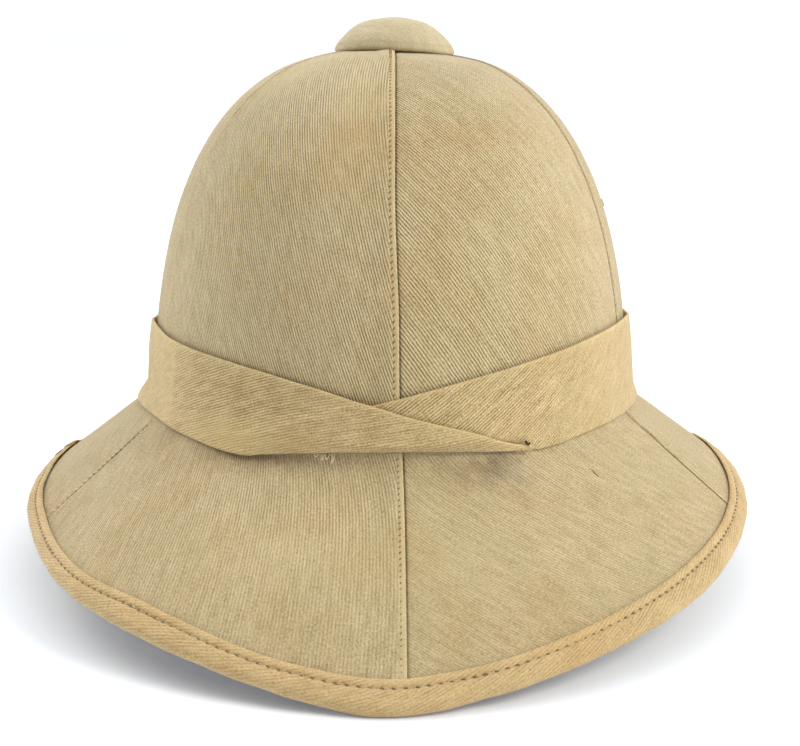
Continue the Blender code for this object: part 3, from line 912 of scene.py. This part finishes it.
TOPSTITCHES = (
    # name,                  seam,   side, height, hole on the crown and on the brim, slant
    ("topstitch_rear",       361.25, -1,   0.60,   0.36, 0.33, 40.0),
    ("topstitch_left",       299.6,  1,    0.27,   0.16, 0.27, 8.0),
    ("topstitch_right",      62.9,   1,    0.27,   0.16, 0.14, 8.0),
    ("topstitch_fore_right", 121.5,  -1,   0.12,   0.18, 0.24, 8.0),
    ("topstitch_front",      180.5,  1,    0.12,   0.28, 0.28, 30.0),
    ("topstitch_fore_left",  239.5,  -1,   0.12,   0.18, 0.24, 8.0),
)
STITCH_INSET = 1.7 * MM
STITCH_PITCH = 2.25 * MM
STITCH_LENGTH = 1.7 * MM
STITCH_THREAD = 0.20 * MM
STITCHES_SINK = ((CROWN_STEPS + 16, ROWS - 6), (0.0, 0.20))
BAND_COVERS_FROM = 0.016
for name, seam, side, height, crown_hole, brim_hole, slant in TOPSTITCHES:
    stretches = (
        ("_crown", crown_hole, np.arange(8.0, row_of_height(seam, BAND_COVERS_FROM), 1.0)),
        ("_brim", brim_hole, np.arange(CROWN_STEPS + 2.5, ROWS - 5.0, 1.0)),
    )
    for part, hole, rows in stretches:
        line = seam_angles(seam, rows)
        reach = reach_at(line, rows)
        angle = line + side * np.degrees(STITCH_INSET / reach)
        sunk = top_sinks(reach, angle) + np.interp(rows, *STITCHES_SINK) * MM
        points = on_cover(angle, rows, height * MM - sunk)
        sew(name + part, points, STITCH_PITCH, STITCH_LENGTH, STITCH_THREAD, hole * MM, slant)

# %% [markdown]
# ## The pith body
#
# Pith is a light, corky plant stem, built up in sheets and pressed. From outside the cloth hides it, but
# from below the whole inside of the helmet is bare pith. It has two skins on the same net, one under the
# cloth and one a few millimetres deeper. One grid runs down the outer skin and back up the inner one, so
# the wall is closed at the vent hole and at the edge.

# %% Two skins from one grid
PITH_LIGHT = (0.76, 0.68, 0.51)
PITH_DARK = (0.60, 0.50, 0.34)
PITH_PORE = (0.62, 0.50, 0.34)
pith, tree, shader, here = new_material("pith", 0.95)
grain = noise_at(tree, stretched(tree, here, (1, 1, 3.5)), 130, 5.0, 0.65)
pores = noise_at(tree, here, 900, 2.0, 0.6)
tone = mix_colours(tree, ramp(tree, grain, 0.35, 0.7), PITH_DARK, PITH_LIGHT)
tone = mix_colours(tree, ramp(tree, pores, 0.55, 0.7, 0.0, 0.35), tone, PITH_PORE)
feed(tree, tone, shader.inputs["Base Color"])
add_bump(tree, shader, math(tree, "MULTIPLY_ADD", pores, 0.4, grain), 0.4 * MM)

PITH_COLUMNS = 145
PITH_ROWS = np.linspace(0, ROWS - 1, 60)
PITH_SINK = 0.6 * MM
PITH_MAP_STEP = 4 * MM
angle, rows = np.meshgrid(np.linspace(-180, 180, PITH_COLUMNS), PITH_ROWS)
brim_share = np.clip((rows - CROWN_STEPS - 4) / (BRIM_STEPS - 4), 0, 1)
crown_share = eased((CROWN_STEPS - 4 - rows) / 20)
thickness = PITH_RING + (PITH_CROWN - PITH_RING) * crown_share + (PITH_EDGE - PITH_RING) * brim_share
skin = CLOTH + GAP
reach = reach_at(angle, rows)
outer = on_cover(angle, rows, -skin - PITH_SINK * near_vent(reach))
inner = on_cover(angle, rows, -skin - thickness)
around = np.concatenate([outer, inner[::-1], outer[:1]])
pith_body = add_grid("pith_body", PITH_COLUMNS, len(around))
flat_map = np.zeros((*around.shape[:2], 2))
flat_map[..., 0] = np.arange(PITH_COLUMNS)[None, :] * PITH_MAP_STEP
flat_map[..., 1] = np.arange(len(around))[:, None] * PITH_MAP_STEP
lay(pith_body, around, flat_map)
close_up(pith_body)
smooth(pith_body, 50)
pith_body.data.materials.append(pith)
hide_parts("pith_shell")
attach(pith_body, "root")
report(pith_body)

# %% [markdown]
# ## The puggaree
#
# The band is one long strip of folded twill. It starts at the back, hidden under its own other end, goes
# once round the foot of the crown, climbs over its start and runs down to a point, where a tack holds
# it. Its lower edge flares out over the curve on to the brim. It is a grid, laid along the same lines as
# the solid band, with a thickness and a rounded rim.

# %% The band's edges
BAND = 0.0020
BAND_SLACK = 0.0004
BAND_NARROWEST = 0.0015
BAND_START = -26.0
BAND_END = 385.0
BAND_CLIMB = (306.0, 334.0)
BAND_TOP = (
    # angle, height
    (-26.0,  0.0030),
    (-2.5,   0.0190),
    (1.6,    0.0212),
    (16.0,   0.0279),
    (33.0,   0.0333),
    (52.0,   0.0368),
    (66.0,   0.0376),
    (78.0,   0.0366),
    (90.0,   0.0352),
    (120.0,  0.0347),
    (180.0,  0.0352),
    (240.0,  0.0336),
    (262.0,  0.0318),
    (270.0,  0.0322),
    (278.0,  0.0336),
    (285.0,  0.0344),
    (291.0,  0.0346),
    (298.5,  0.0338),
    (304.0,  0.0330),
    (310.0,  0.0323),
    (318.0,  0.0315),
    (326.0,  0.0304),
    (333.0,  0.0289),
    (338.0,  0.0276),
    (343.0,  0.0258),
    (348.0,  0.0237),
    (353.0,  0.0210),
    (357.2,  0.0189),
    (364.2,  0.0145),
    (372.6,  0.0098),
    (385.0,  0.0029),
)
BAND_FOOT = (
    # angle,  height,  flare
    (-180.0, -0.0033,  0.0036),
    (-130.0, -0.0022,  0.0044),
    (-100.0,  0.0002,  0.0048),
    (-89.0,  -0.0005,  0.0052),
    (-72.0,   0.0008,  0.0034),
    (-59.5,   0.0011,  0.0018),
    (-47.0,   0.0001,  0.0016),
    (-37.5,  -0.0007,  0.0008),
    (-30.0,  -0.0017,  0.0007),
    (-26.5,  -0.0019,  0.0006),
    (-22.5,  -0.0007, -0.0008),
    (-15.0,   0.0010, -0.0024),
    (-6.5,    0.0023, -0.0031),
    (1.5,     0.0027, -0.0032),
    (6.5,     0.0025, -0.0032),
    (12.5,    0.0020, -0.0030),
    (17.0,    0.0014, -0.0025),
    (23.0,    0.0007, -0.0014),
    (27.0,    0.0000,  0.0007),
    (31.0,    0.0003,  0.0008),
    (39.0,    0.0017,  0.0004),
    (49.0,    0.0025,  0.0004),
    (65.5,    0.0029,  0.0012),
    (90.0,    0.0024,  0.0022),
    (130.0,  -0.0010,  0.0034),
    (180.0,  -0.0033,  0.0036),
)
HIDDEN_SHORT = 0.0050
BAND_WEAVE = (
    # angle along the band, slope of the ribs in degrees
    (-26.0, 38.0),
    (20.0,  37.0),
    (35.0,  33.0),
    (90.0,  30.0),
    (230.0, 26.0),
    (300.0, 19.0),
    (335.0, 18.0),
    (350.0, 12.0),
    (366.0, 9.0),
    (385.0, 9.0),
)
BAND_RIB = 0.96
BAND_RADIUS = 0.114
print("the band goes round", BAND_END - BAND_START, "degrees")


# %% The surface that the band lies on
def band_lift(along, height):
    """The band's inside over the cloth: its upper end climbs on to the lower one, and leans back
    against the crown above it."""
    share = (along - BAND_CLIMB[0]) / (BAND_CLIMB[1] - BAND_CLIMB[0])
    lower_top = smooth_curve(BAND_TOP, 1, np.clip(along - 360.0, BAND_START, BAND_END))
    slope_width = np.interp(along, (318.0, 342.0), (0.0240, 0.0055))
    leaning = eased((height - lower_top - 0.0005) / slope_width)
    return GAP + (BAND + GAP) * eased(share) * (1 - leaning)


def band_foot(along):
    """Height of the lower edge. The end that lies underneath stops short of it."""
    hidden = eased((21.0 - np.asarray(along, float)) / 8.0)
    return smooth_curve(BAND_FOOT, 1, signed_turn(along)) + HIDDEN_SHORT * hidden


def band_wall(along, height):
    """Reach of the line that the band's inside follows."""
    turn = signed_turn(along)
    foot = smooth_curve(BAND_FOOT, 1, turn)
    curve_start = ring_height(along) + FILLET
    share = np.clip((curve_start - height) / (curve_start - foot), 0, 1)
    reach, _ = crown_curve(along, row_at_height(height))
    return reach + smooth_curve(BAND_FOOT, 2, turn) * share * share * (2 - share)


# %% The band's creases
BAND_CREASES = (
    # from angle and height, to angle and height, depth, half width
    (1.0,  0.0168, 62.0, 0.0335, 0.45, 0.55),
    (14.0, 0.0205, 46.0, 0.0285, 0.35, 0.90),
    (24.0, 0.0150, 54.0, 0.0215, 0.25, 1.30),
    (70.0, 0.0200, 150.0, 0.0240, 0.30, 1.20),
    (160.0, 0.0150, 290.0, 0.0180, 0.30, 1.30),
)


def crease_lift(angle, height):
    """Soft pressed lines that run along the folded cloth."""
    lift = 0.0 * height
    for start, low, end, high, depth, half_width in BAND_CREASES:
        share = (angle - start) / (end - start)
        line = low + (high - low) * np.clip(share, 0, 1)
        fading = eased(share * 5) * eased((1 - share) * 5)
        lift = lift - depth * MM * fading * np.exp(-((height - line) / (half_width * MM)) ** 2)
    return lift


# %% Lay the band
FOLD = 0.62 * MM
OUTSIDE_ROWS = 38
INSIDE_ROWS = 9
EDGE_TURNS = np.arange(150, 29, -30)
EDGE_ROWS = len(EDGE_TURNS)
BAND_WAVES = ((16 * MM, 0.35 * MM), (6 * MM, 0.10 * MM))
along = np.arange(BAND_START, BAND_END + 0.01, 0.75)
foot = band_foot(along)
top = np.maximum(smooth_curve(BAND_TOP, 1, along), foot + BAND_NARROWEST)
fold = np.minimum(FOLD, 0.42 * (top - foot))
outside, inside = np.linspace(0, 1, OUTSIDE_ROWS), np.linspace(1, 0, INSIDE_ROWS)
row_share = np.concatenate([np.zeros(EDGE_ROWS), outside, np.ones(EDGE_ROWS), inside, [0]])[:, None]
row_turn = [EDGE_TURNS, 0 * outside, -EDGE_TURNS[::-1], np.full(INSIDE_ROWS, 180), [EDGE_TURNS[0]]]
row_turn = np.radians(np.concatenate(row_turn))[:, None]
middle = (top - fold) + (foot - top + 2 * fold) * row_share
angles = np.repeat(along[None, :], len(row_share), axis=0)
lean = (band_wall(angles, middle + 0.2 * MM) - band_wall(angles, middle - 0.2 * MM)) / (0.4 * MM)
lean = np.minimum(lean, 0.0)
outward = np.stack([1 + 0 * lean, -lean], -1) / np.hypot(1, lean)[..., None]
upward = np.stack([lean, 1 + 0 * lean], -1) / np.hypot(1, lean)[..., None]
stand = band_lift(angles, middle) + BAND + BAND_SLACK * row_share
stand = stand + crease_lift(angles, middle) - fold
off = outward * (stand + fold * np.cos(row_turn))[..., None]
off = off + upward * (fold * np.sin(row_turn))[..., None]
points = in_hat(angles, band_wall(angles, middle) + off[..., 0], middle + off[..., 1])
uneven = unevenness(points, BAND_WAVES)
points = points + uneven[..., None] * in_hat(angles, outward[..., 0], outward[..., 1])
print("the band is", round((top - foot).max() * 1000, 1), "mm wide where it is widest")

# %% Map the weave, age the cloth, paint shade and highlights, and close the band
BAND_WEAR_AND_LIGHT = (
    # angle along the band, softened ribs, paleness
    (-26.0, 0.10, 0.00),
    (12.0,  0.15, 0.00),
    (21.0,  0.30, 0.00),
    (33.0,  0.48, 0.05),
    (44.0,  0.75, 0.15),
    (58.0,  0.90, 0.12),
    (90.0,  0.60, 0.15),
    (180.0, 0.30, 0.00),
    # From 270 to 310 degrees the paleness is painted light: the band is lighter where it turns round the
    # crown's left side.
    (270.0, 0.60, 0.10),
    (295.0, 0.90, 0.22),
    (309.6, 0.88, 0.30),
    (311.2, 0.35, 0.05),
    (322.0, 0.15, 0.00),
    (332.0, 0.00, 0.00),
    (343.0, 0.28, 0.00),
    (352.0, 0.55, 0.00),
    (385.0, 0.55, 0.10),
)
run = np.radians(along) * BAND_RADIUS
slope = np.radians(smooth_curve(BAND_WEAVE, 1, along))
drop = np.sin(slope)
fallen = np.concatenate([[0.0], np.cumsum((drop[1:] + drop[:-1]) / 2 * np.diff(run))])
level = middle + fold * np.where(np.abs(row_turn) < 3, row_turn, 0)
across_ribs = (level * np.cos(slope)[None, :] - fallen[None, :]) / BAND_RIB
along_ribs = (run[None, :] * np.cos(slope)[None, :] + level * np.sin(slope)[None, :]) / BAND_RIB
band_map = np.stack([across_ribs, along_ribs], -1)
puggaree = add_grid("puggaree_cloth", len(along), len(row_share))
lay(puggaree, points, band_map)
age_angles, age_softened, band_paleness = np.array(BAND_WEAR_AND_LIGHT).T
worn_smooth = np.interp(along, age_angles, age_softened)
paleness = np.interp(along, age_angles, band_paleness)
# Along the top fold the band is softer and paler: partly wear, partly a painted highlight on the folded
# edge.
edge = np.exp(-((top[None, :] - middle) / (0.9 * MM)) ** 2)
corner = 0.7 * np.exp(-((along - 332) / 15) ** 2)[None, :] * eased((0.015 - middle) / 0.012)
paleness = np.clip(paleness[None, :] + 0.7 * edge + corner, 0, 1)
# Painted shade on the underside of the lower roll from 324 degrees on: the dark line where the foot
# stands off the brim.
under_fold = eased((-np.sin(row_turn) * (row_share > 0.5) - 0.15) / 0.5)
shade_stretch = eased((along - 324) / 10) * (1 - 0.6 * eased((along - 376) / 7))
shade_under_band = under_fold * shade_stretch[None, :]
write_wear_and_painted_light(puggaree, np.maximum(worn_smooth[None, :], 0.7 * edge), paleness, shade_under_band)
close_up(puggaree, caps=True)
smooth(puggaree, 50)
puggaree.data.materials.append(band_twill)
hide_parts("puggaree")
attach(puggaree, "root")
report(puggaree)

# %% [markdown]
# ## The binding
#
# Bias tape wraps the edge of the brim: over the top, round the nose and back underneath. It is sewn
# through with long stitches three or four millimetres from its inner edge, and between the thread and
# that edge the tape puffs up into a small roll.

# %% The tape's width and its section
TAPE_WIDTH = (
    # angle from the back, how far the tape reaches in from the tip
    (-180.0, 0.0100),
    (-90.0,  0.0097),
    (-60.0,  0.0084),
    (-40.0,  0.0088),
    (-28.0,  0.0108),
    (-14.0,  0.0100),
    (0.0,    0.0116),
    (14.0,   0.0100),
    (40.0,   0.0114),
    (60.0,   0.0097),
    (90.0,   0.0100),
    (180.0,  0.0100),
)
TAPE_STITCH = 3.3 * MM
TAPE_PITCH = 3.7 * MM
TAPE_JOIN = -97.0
TAPE_NEAR = np.array([0.0, 0.12, 0.3, 0.6, 1.0, 1.5, 2.0, 2.5, 2.9, 3.3, 3.7, 4.2]) * MM
NOSE_TURNS = np.arange(90, -91, -10)
TOP_POINTS = len(TAPE_NEAR) + 2
print("points across the tape:", TOP_POINTS + len(NOSE_TURNS) + 4)


def tape_section(angle, width):
    """Points over the top of the tape, round the nose and below, with the way that each one faces."""
    start, end, along = brim_line(angle)
    upward = np.array([-along[1], along[0]])
    centre = end - upward * (CLOTH + GAP + PITH_EDGE) / 2
    leg = width - NOSE_RADIUS
    rest = TAPE_NEAR[-1] + (leg - TAPE_NEAR[-1]) * np.array([0.33, 0.66])
    flat = np.concatenate([TAPE_NEAR, rest])
    above = centre - along * (leg - flat)[:, None] + upward * NOSE_RADIUS
    turn = np.radians(NOSE_TURNS)[:, None]
    faces = along * np.cos(turn) + upward * np.sin(turn)
    taper = (PITH_RING - PITH_EDGE) / (np.linalg.norm(end - start) - FILLET)
    back = leg * np.array([0.25, 0.5, 0.75, 1.0])[:, None]
    below = centre - along * back - upward * (NOSE_RADIUS + back * taper)
    points = np.concatenate([above, centre + faces * NOSE_RADIUS, below])
    facing = np.concatenate([np.tile(upward, (len(above), 1)), faces, np.tile(-upward, (4, 1))])
    round_nose = leg + NOSE_RADIUS * np.radians(90 - NOSE_TURNS)
    inset = np.concatenate([flat, round_nose, leg + NOSE_RADIUS * pi + back[:, 0]])
    return points, facing, inset


# %% Lay the tape, from its join once round to its join
ROLL = 0.30 * MM
TUCK, TUCK_OVER = 0.45 * MM, 0.22 * MM
VALLEY, VALLEY_HALF_WIDTH = 0.62 * MM, 0.50 * MM
LAP = 0.55 * MM
TAPE_WAVES = ((12 * MM, 0.30 * MM), (4 * MM, 0.12 * MM))
TAPE_BIAS = radians(22)
TAPE_RIB = 1.15
tape_angles = np.arange(TAPE_JOIN - 1.5, TAPE_JOIN + 361.5 + 0.01, 0.5)
tape_widths = smooth_curve(TAPE_WIDTH, 1, signed_turn(tape_angles))
parts = [tape_section(angle, width) for angle, width in zip(tape_angles, tape_widths)]
base = np.stack([part[0] for part in parts], axis=1)
facing = np.stack([part[1] for part in parts], axis=1)
inset = np.stack([part[2] for part in parts], axis=1)
edge_points = in_hat(tape_angles, *tip(tape_angles).T)
walked = np.concatenate([[0.0], np.cumsum(np.linalg.norm(np.diff(edge_points, axis=0), axis=1))])
pucker = 0.75 + 0.25 * np.cos(2 * pi * walked / TAPE_PITCH)[None, :]
roll = ROLL * np.sin(pi * np.clip(inset / TAPE_STITCH, 0, 1)) - TUCK * np.exp(-inset / TUCK_OVER)
valley = VALLEY * np.exp(-((inset - TAPE_STITCH) / VALLEY_HALF_WIDTH) ** 2) * pucker
lapped = LAP * eased((tape_angles - (TAPE_JOIN + 355.5)) / 1.8)[None, :]
angles = np.repeat(tape_angles[None, :], base.shape[0], axis=0)
points = in_hat(angles, base[..., 0], base[..., 1])
lift = roll - valley + lapped + unevenness(points, TAPE_WAVES)
points = points + in_hat(angles, facing[..., 0], facing[..., 1]) * lift[..., None]
tape_map = np.stack([
    walked[None, :] * sin(TAPE_BIAS) + inset * cos(TAPE_BIAS),
    walked[None, :] * cos(TAPE_BIAS) - inset * sin(TAPE_BIAS)], -1) / TAPE_RIB
binding = add_grid("binding_tape", len(tape_angles), len(base))
lay(binding, points, tape_map)
level = to_world(points.reshape(-1, 3))[:, 2].reshape(inset.shape)
paleness = 0.25 * np.exp(-((inset - TAPE_STITCH / 2) / (1.2 * MM)) ** 2)
write_wear_and_painted_light(binding, 0.62 * (1 - eased(level / 0.05)), paleness)
for corner in binding.data.vertices:
    corner.co.z = max(corner.co.z, 0.0)  # the tape rests on the table and doesn't sink into it
thicken(binding, 0.6 * MM)
smooth(binding, 60)
binding.data.materials.append(edge_tape)
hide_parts("brim_binding")
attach(binding, "root")
report(binding)

# %% Sew the tape through, top and bottom
above_line, below_line = [], []
for angle, width in zip(tape_angles, tape_widths):
    points, facing, inset = tape_section(angle, width)
    above = [np.interp(TAPE_STITCH, inset[:TOP_POINTS], points[:TOP_POINTS, k]) for k in (0, 1)]
    above_line.append(above - facing[0] * 0.42 * MM)
    below_line.append(points[-2] + facing[-1] * 0.05 * MM)
above_line = in_hat(tape_angles, *np.array(above_line).T)
below_line = in_hat(tape_angles, *np.array(below_line).T)
sew("tape_stitches", above_line, TAPE_PITCH, 2.2 * MM, 0.28 * MM, 0.42 * MM, 25.0)
sew("tape_stitches_below", below_line, TAPE_PITCH, 3.0 * MM, 0.22 * MM, 0.3 * MM)

# %% [markdown]
# ## The vent button
#
# The cap over the vent is a stiff dome under a disc of twill, whose rim is drawn down over the edge. It
# starts as a sphere, because that is closed at both ends; its rings are moved to the dome's measured
# line, rolled under at the rim and closed across the bottom, and the cloth sags a little at the rim.

# %% Shape the button
BUTTON_LINE = (
    # radius, height over the ring
    (0.0,    0.1520),
    (0.0025, 0.15195),
    (0.0049, 0.1517),
    (0.0090, 0.1510),
    (0.0126, 0.1500),
    (0.0152, 0.1486),
    (0.0176, 0.1468),
    (0.0197, 0.1451),
    (0.0212, 0.1435),
    (0.0226, 0.1418),
    (0.0234, 0.1403),
    (0.0238, 0.1393),
    (0.0236, 0.1386),
    (0.0229, 0.1382),
    (0.0216, 0.1381),
    (0.0190, 0.1384),
    (0.0120, 0.1391),
    (0.0,    0.1398),
)
BUTTON_TILT = radians(1.6)
BUTTON_SHIFT = np.array([1.2, 0.0, 0.15]) * MM
BUTTON_WAVES = ((9 * MM, 0.22 * MM),)
BUTTON_GRAIN = radians(35)
UNDERSIDE_BELOW = 0.1375
bpy.ops.object.select_all(action="DESELECT")
bpy.ops.mesh.primitive_uv_sphere_add(segments=96, ring_count=64, radius=1.0)
button = bpy.context.object
button.name = "vent_button_cloth"
button.data.name = button.name
line = np.array(BUTTON_LINE)
run = np.concatenate([[0.0], np.cumsum(np.linalg.norm(np.diff(line, axis=0), axis=1))])
places = np.zeros(len(button.data.vertices) * 3)
button.data.vertices.foreach_get("co", places)
places = places.reshape(-1, 3)
share = np.arccos(np.clip(places[:, 2], -1, 1)) / pi
round_turn = np.arctan2(places[:, 1], places[:, 0])
reach = np.interp(share * run[-1], run, line[:, 0])
height = np.interp(share * run[-1], run, line[:, 1])
rim = eased((reach - 0.017) / 0.006) * (height > UNDERSIDE_BELOW)
gathers = 0.10 * MM * np.sin(19 * round_turn) + 0.09 * MM * np.sin(31 * round_turn + 1.0)
sag = 0.35 * MM * np.sin(3 * round_turn + 0.6) + 0.25 * MM * np.sin(5 * round_turn)
sag = sag - 0.75 * MM * np.cos(2 * round_turn)
reach = reach + rim * gathers
height = height + rim * sag * 0.6
points = np.stack([reach * np.cos(round_turn), reach * np.sin(round_turn), height], -1)
points[:, 2] += unevenness(points, BUTTON_WAVES) * (share < 0.5)
tilt = np.array(Matrix.Rotation(BUTTON_TILT, 3, "Y"))
seat = np.array([0.0, 0.0, CROWN_HEIGHT])
points = (points - seat) @ tilt.T + seat + BUTTON_SHIFT
spread_out = np.where(share < 0.5, share * run[-1], 0.06 - share * run[-1] * 0.4)
grain_turn = round_turn - BUTTON_GRAIN
lay(button, points, np.stack([spread_out * np.cos(grain_turn), spread_out * np.sin(grain_turn)], -1))
smooth(button, 60)
button.data.materials.append(button_cloth)
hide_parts("vent_button")
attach(button, "root")
report(button)

# %% [markdown]
# ## Small signs of age
#
# A tack holds the band's end. A few loose threads hang out where the band meets the brim, the brim has a
# short nick on the right, and a small lump of thread sits on the right side of the crown. They are short
# curves with a round section, turned into meshes.

# %% The loose threads, the nick and the lump
def add_strand(name, points, radius, material):
    line = lay_curve(name, to_world(np.array(points)))
    line.data.bevel_depth = radius
    line.data.bevel_resolution = 1
    line.data.use_fill_caps = True
    select_only(line)
    bpy.ops.object.convert(target="MESH")
    strand = bpy.context.object
    strand.data.materials.append(material)
    smooth(strand, 80)
    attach(strand, "root")
    report(strand)


def tuft(angle, row, hangs, sways, turns=14):
    """Points of a small loop of thread that hangs from under the band on to the brim."""
    t = np.linspace(0, 1, turns)
    lift = (0.7 + 1.3 * np.sin(pi * t)) * MM
    return on_cover(angle + sways * (t - 0.5), row + hangs * np.sin(pi * t), lift)


cotton = noisy_material("loose_cotton", (0.74, 0.60, 0.38), (0.93, 0.81, 0.58), 1200, 0.85, breakup=0.5)
TUFTS = (
    # angle, first row, rows that it hangs down, sway in degrees
    (-12.2, 98.2, 1.1, 1.0),
    (-11.0, 98.0, 1.9, 0.5),
    (-10.3, 98.2, 1.5, 0.8),
    (-9.3,  98.0, 2.3, 0.5),
)
for count, (angle, row, hangs, sways) in enumerate(TUFTS, 1):
    add_strand(f"loose_thread_{count}", tuft(angle, row, hangs, sways), 0.19 * MM, cotton)
NICK = np.array([(36.5, 108.2), (36.7, 109.3), (36.9, 110.3)])
LUMP = np.array([(79.2, 56.8), (80.0, 57.4), (80.6, 58.3)])
# The nick is a dark strand: painted shade in the cut.
add_strand("brim_nick", on_cover(NICK[:, 0], NICK[:, 1], 0.05 * MM), 0.15 * MM, needle_hole)
add_strand("crown_lump", on_cover(LUMP[:, 0], LUMP[:, 1], 0.15 * MM), 0.42 * MM, thread)

# %% The tack
TARNISH_DARK = (0.018, 0.024, 0.012)
TARNISH_PALE = (0.075, 0.085, 0.045)
tack_metal = noisy_material("old_tack", TARNISH_DARK, TARNISH_PALE, 1300, 0.6, detail=3.0, metallic=0.5)
TACK = (
    # angle, height: the bent head of the tack, as three short strokes
    (23.75, 0.0043),
    (24.05, 0.0034),
    (24.35, 0.0030),
    (24.60, 0.0036),
)
angle, height = np.array(TACK).T
outside = band_wall(angle, height) + band_lift(360 + angle, height) + BAND + 0.1 * MM
add_strand("band_tack", in_hat(angle, outside, height), 0.45 * MM, tack_metal)

# %% [markdown]
# ## The stud
#
# The stud under the button is hidden from outside, but its end shows inside the crown. It keeps its
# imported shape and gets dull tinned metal.

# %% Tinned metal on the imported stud
TIN = (0.48, 0.47, 0.44)
TIN_DULL = (0.22, 0.18, 0.13)
tinned, tree, shader, here = new_material("tinned_metal", 0.5, metallic=0.9)
dull = noise_at(tree, here, 260, 4.0, 0.6)
feed(tree, mix_colours(tree, ramp(tree, dull, 0.4, 0.66), TIN, TIN_DULL), shader.inputs["Base Color"])
feed(tree, ramp(tree, dull, 0.3, 0.7, 0.35, 0.65), shader.inputs["Roughness"])
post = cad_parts["vent_post"]
for holder in post.material_slots:
    holder.material = tinned
print("the stud wears", post.material_slots[0].material.name)

# %% [markdown]
# ## Floor, light and camera
#
# The helmet stands on a white table in soft white light, with a larger and warmer share from the right.
# The camera looks at the back of the helmet from a little above. Its place is given in the hat axes.

# %% Floor
bpy.ops.object.select_all(action="DESELECT")
bpy.ops.mesh.primitive_plane_add(size=8.0, location=(0, 0, -0.0003))
floor = bpy.context.object
floor.name = "white_table"
paper = noisy_material("white_table", (0.945, 0.965, 0.985), (0.955, 0.975, 0.990), 3, 0.9, breakup=0.5)
shader = paper.node_tree.nodes["Principled BSDF"]
# The table glows faintly blue: painted light that lifts its shadows and tints them blue.
shader.inputs["Emission Color"].default_value = (0.45, 0.62, 1.0, 1.0)
shader.inputs["Emission Strength"].default_value = 0.10
floor.data.materials.append(paper)
print("the table lies", round(-floor.location.z * 1000, 1), "mm under the helmet")

# %% Light
OPEN_SIDE = (-0.25, -1.0, 0.45)
OPEN_LIGHT = 0.15
ROOM_LIGHT = 1.29
scene = bpy.context.scene
world = bpy.data.worlds.new("soft_room")
scene.world = world
world.use_nodes = True
tree = world.node_tree
background = tree.nodes["Background"]
background.inputs["Color"].default_value = (0.99, 1.0, 1.01, 1.0)
way = node(tree, "ShaderNodeTexCoord").outputs["Generated"]
opening = node(tree, "ShaderNodeVectorMath", operation="DOT_PRODUCT")
opening.inputs[1].default_value = Vector(OPEN_SIDE).normalized()
feed(tree, way, opening.inputs[0])
height_of = node(tree, "ShaderNodeSeparateXYZ")
feed(tree, way, height_of.inputs[0])
towards = ramp(tree, opening.outputs["Value"], 0.40, 0.85)
above = ramp(tree, height_of.outputs["Z"], 0.02, 0.20)
dark = math(tree, "MULTIPLY", towards, above)
light = math(tree, "MULTIPLY_ADD", dark, OPEN_LIGHT - ROOM_LIGHT, ROOM_LIGHT)
feed(tree, light, background.inputs["Strength"])


def add_softbox(name, direction, distance, size, power, colour):
    lamp = bpy.data.lights.new(name, "AREA")
    lamp.shape = "DISK"
    lamp.size = size
    lamp.energy = power
    lamp.color = colour
    holder = bpy.data.objects.new(name, lamp)
    towards = Vector(direction).normalized()
    holder.location = towards * distance
    holder.rotation_euler = towards.to_track_quat("Z", "Y").to_euler()
    scene.collection.objects.link(holder)
    print(name, "gives", power, "watts")


add_softbox("key_right", (0.70, -0.34, 0.62), 1.8, 0.8, 13.6, (1.0, 0.985, 0.94))
add_softbox("fill_left", (-0.72, 0.36, 0.62), 1.8, 1.2, 10.7, (1.0, 0.975, 0.92))
scene.view_settings.view_transform = "Standard"
scene.view_settings.look = "None"

# %% Camera
CAMERA_DISTANCE = 0.6790
CAMERA_HEIGHT = 0.1317
CAMERA_YAW = radians(-0.1355)
CAMERA_PITCH = radians(10.2503)
CAMERA_PAN = radians(0.3176)
CAMERA_ROLL = radians(0.1370)
lens = bpy.data.cameras.new("camera")
lens.sensor_width = 36.0
lens.sensor_fit = "HORIZONTAL"
lens.lens = 75.517
lens.clip_start = 0.01
camera = bpy.data.objects.new("camera", lens)
scene.collection.objects.link(camera)
place = Vector((-CAMERA_DISTANCE * sin(CAMERA_YAW), -CAMERA_DISTANCE * cos(CAMERA_YAW), CAMERA_HEIGHT))
turn = Matrix.Rotation(-CAMERA_YAW, 4, "Z") @ Matrix.Rotation(pi / 2 - CAMERA_PITCH, 4, "X")
turn = turn @ Matrix.Rotation(-CAMERA_PAN, 4, "Y") @ Matrix.Rotation(CAMERA_ROLL, 4, "Z")
camera.matrix_world = TO_WORLD @ Matrix.Translation(place) @ turn
scene.camera = camera
print("camera at", [round(value, 4) for value in camera.matrix_world.translation])

# %% [markdown]
#
# Last, the scene is brought up to date. The dressed helmet has to stay in the imported model's box,
# apart from the little that cloth may stand proud.

# %% Bring the scene up to date
bpy.context.view_layer.update()
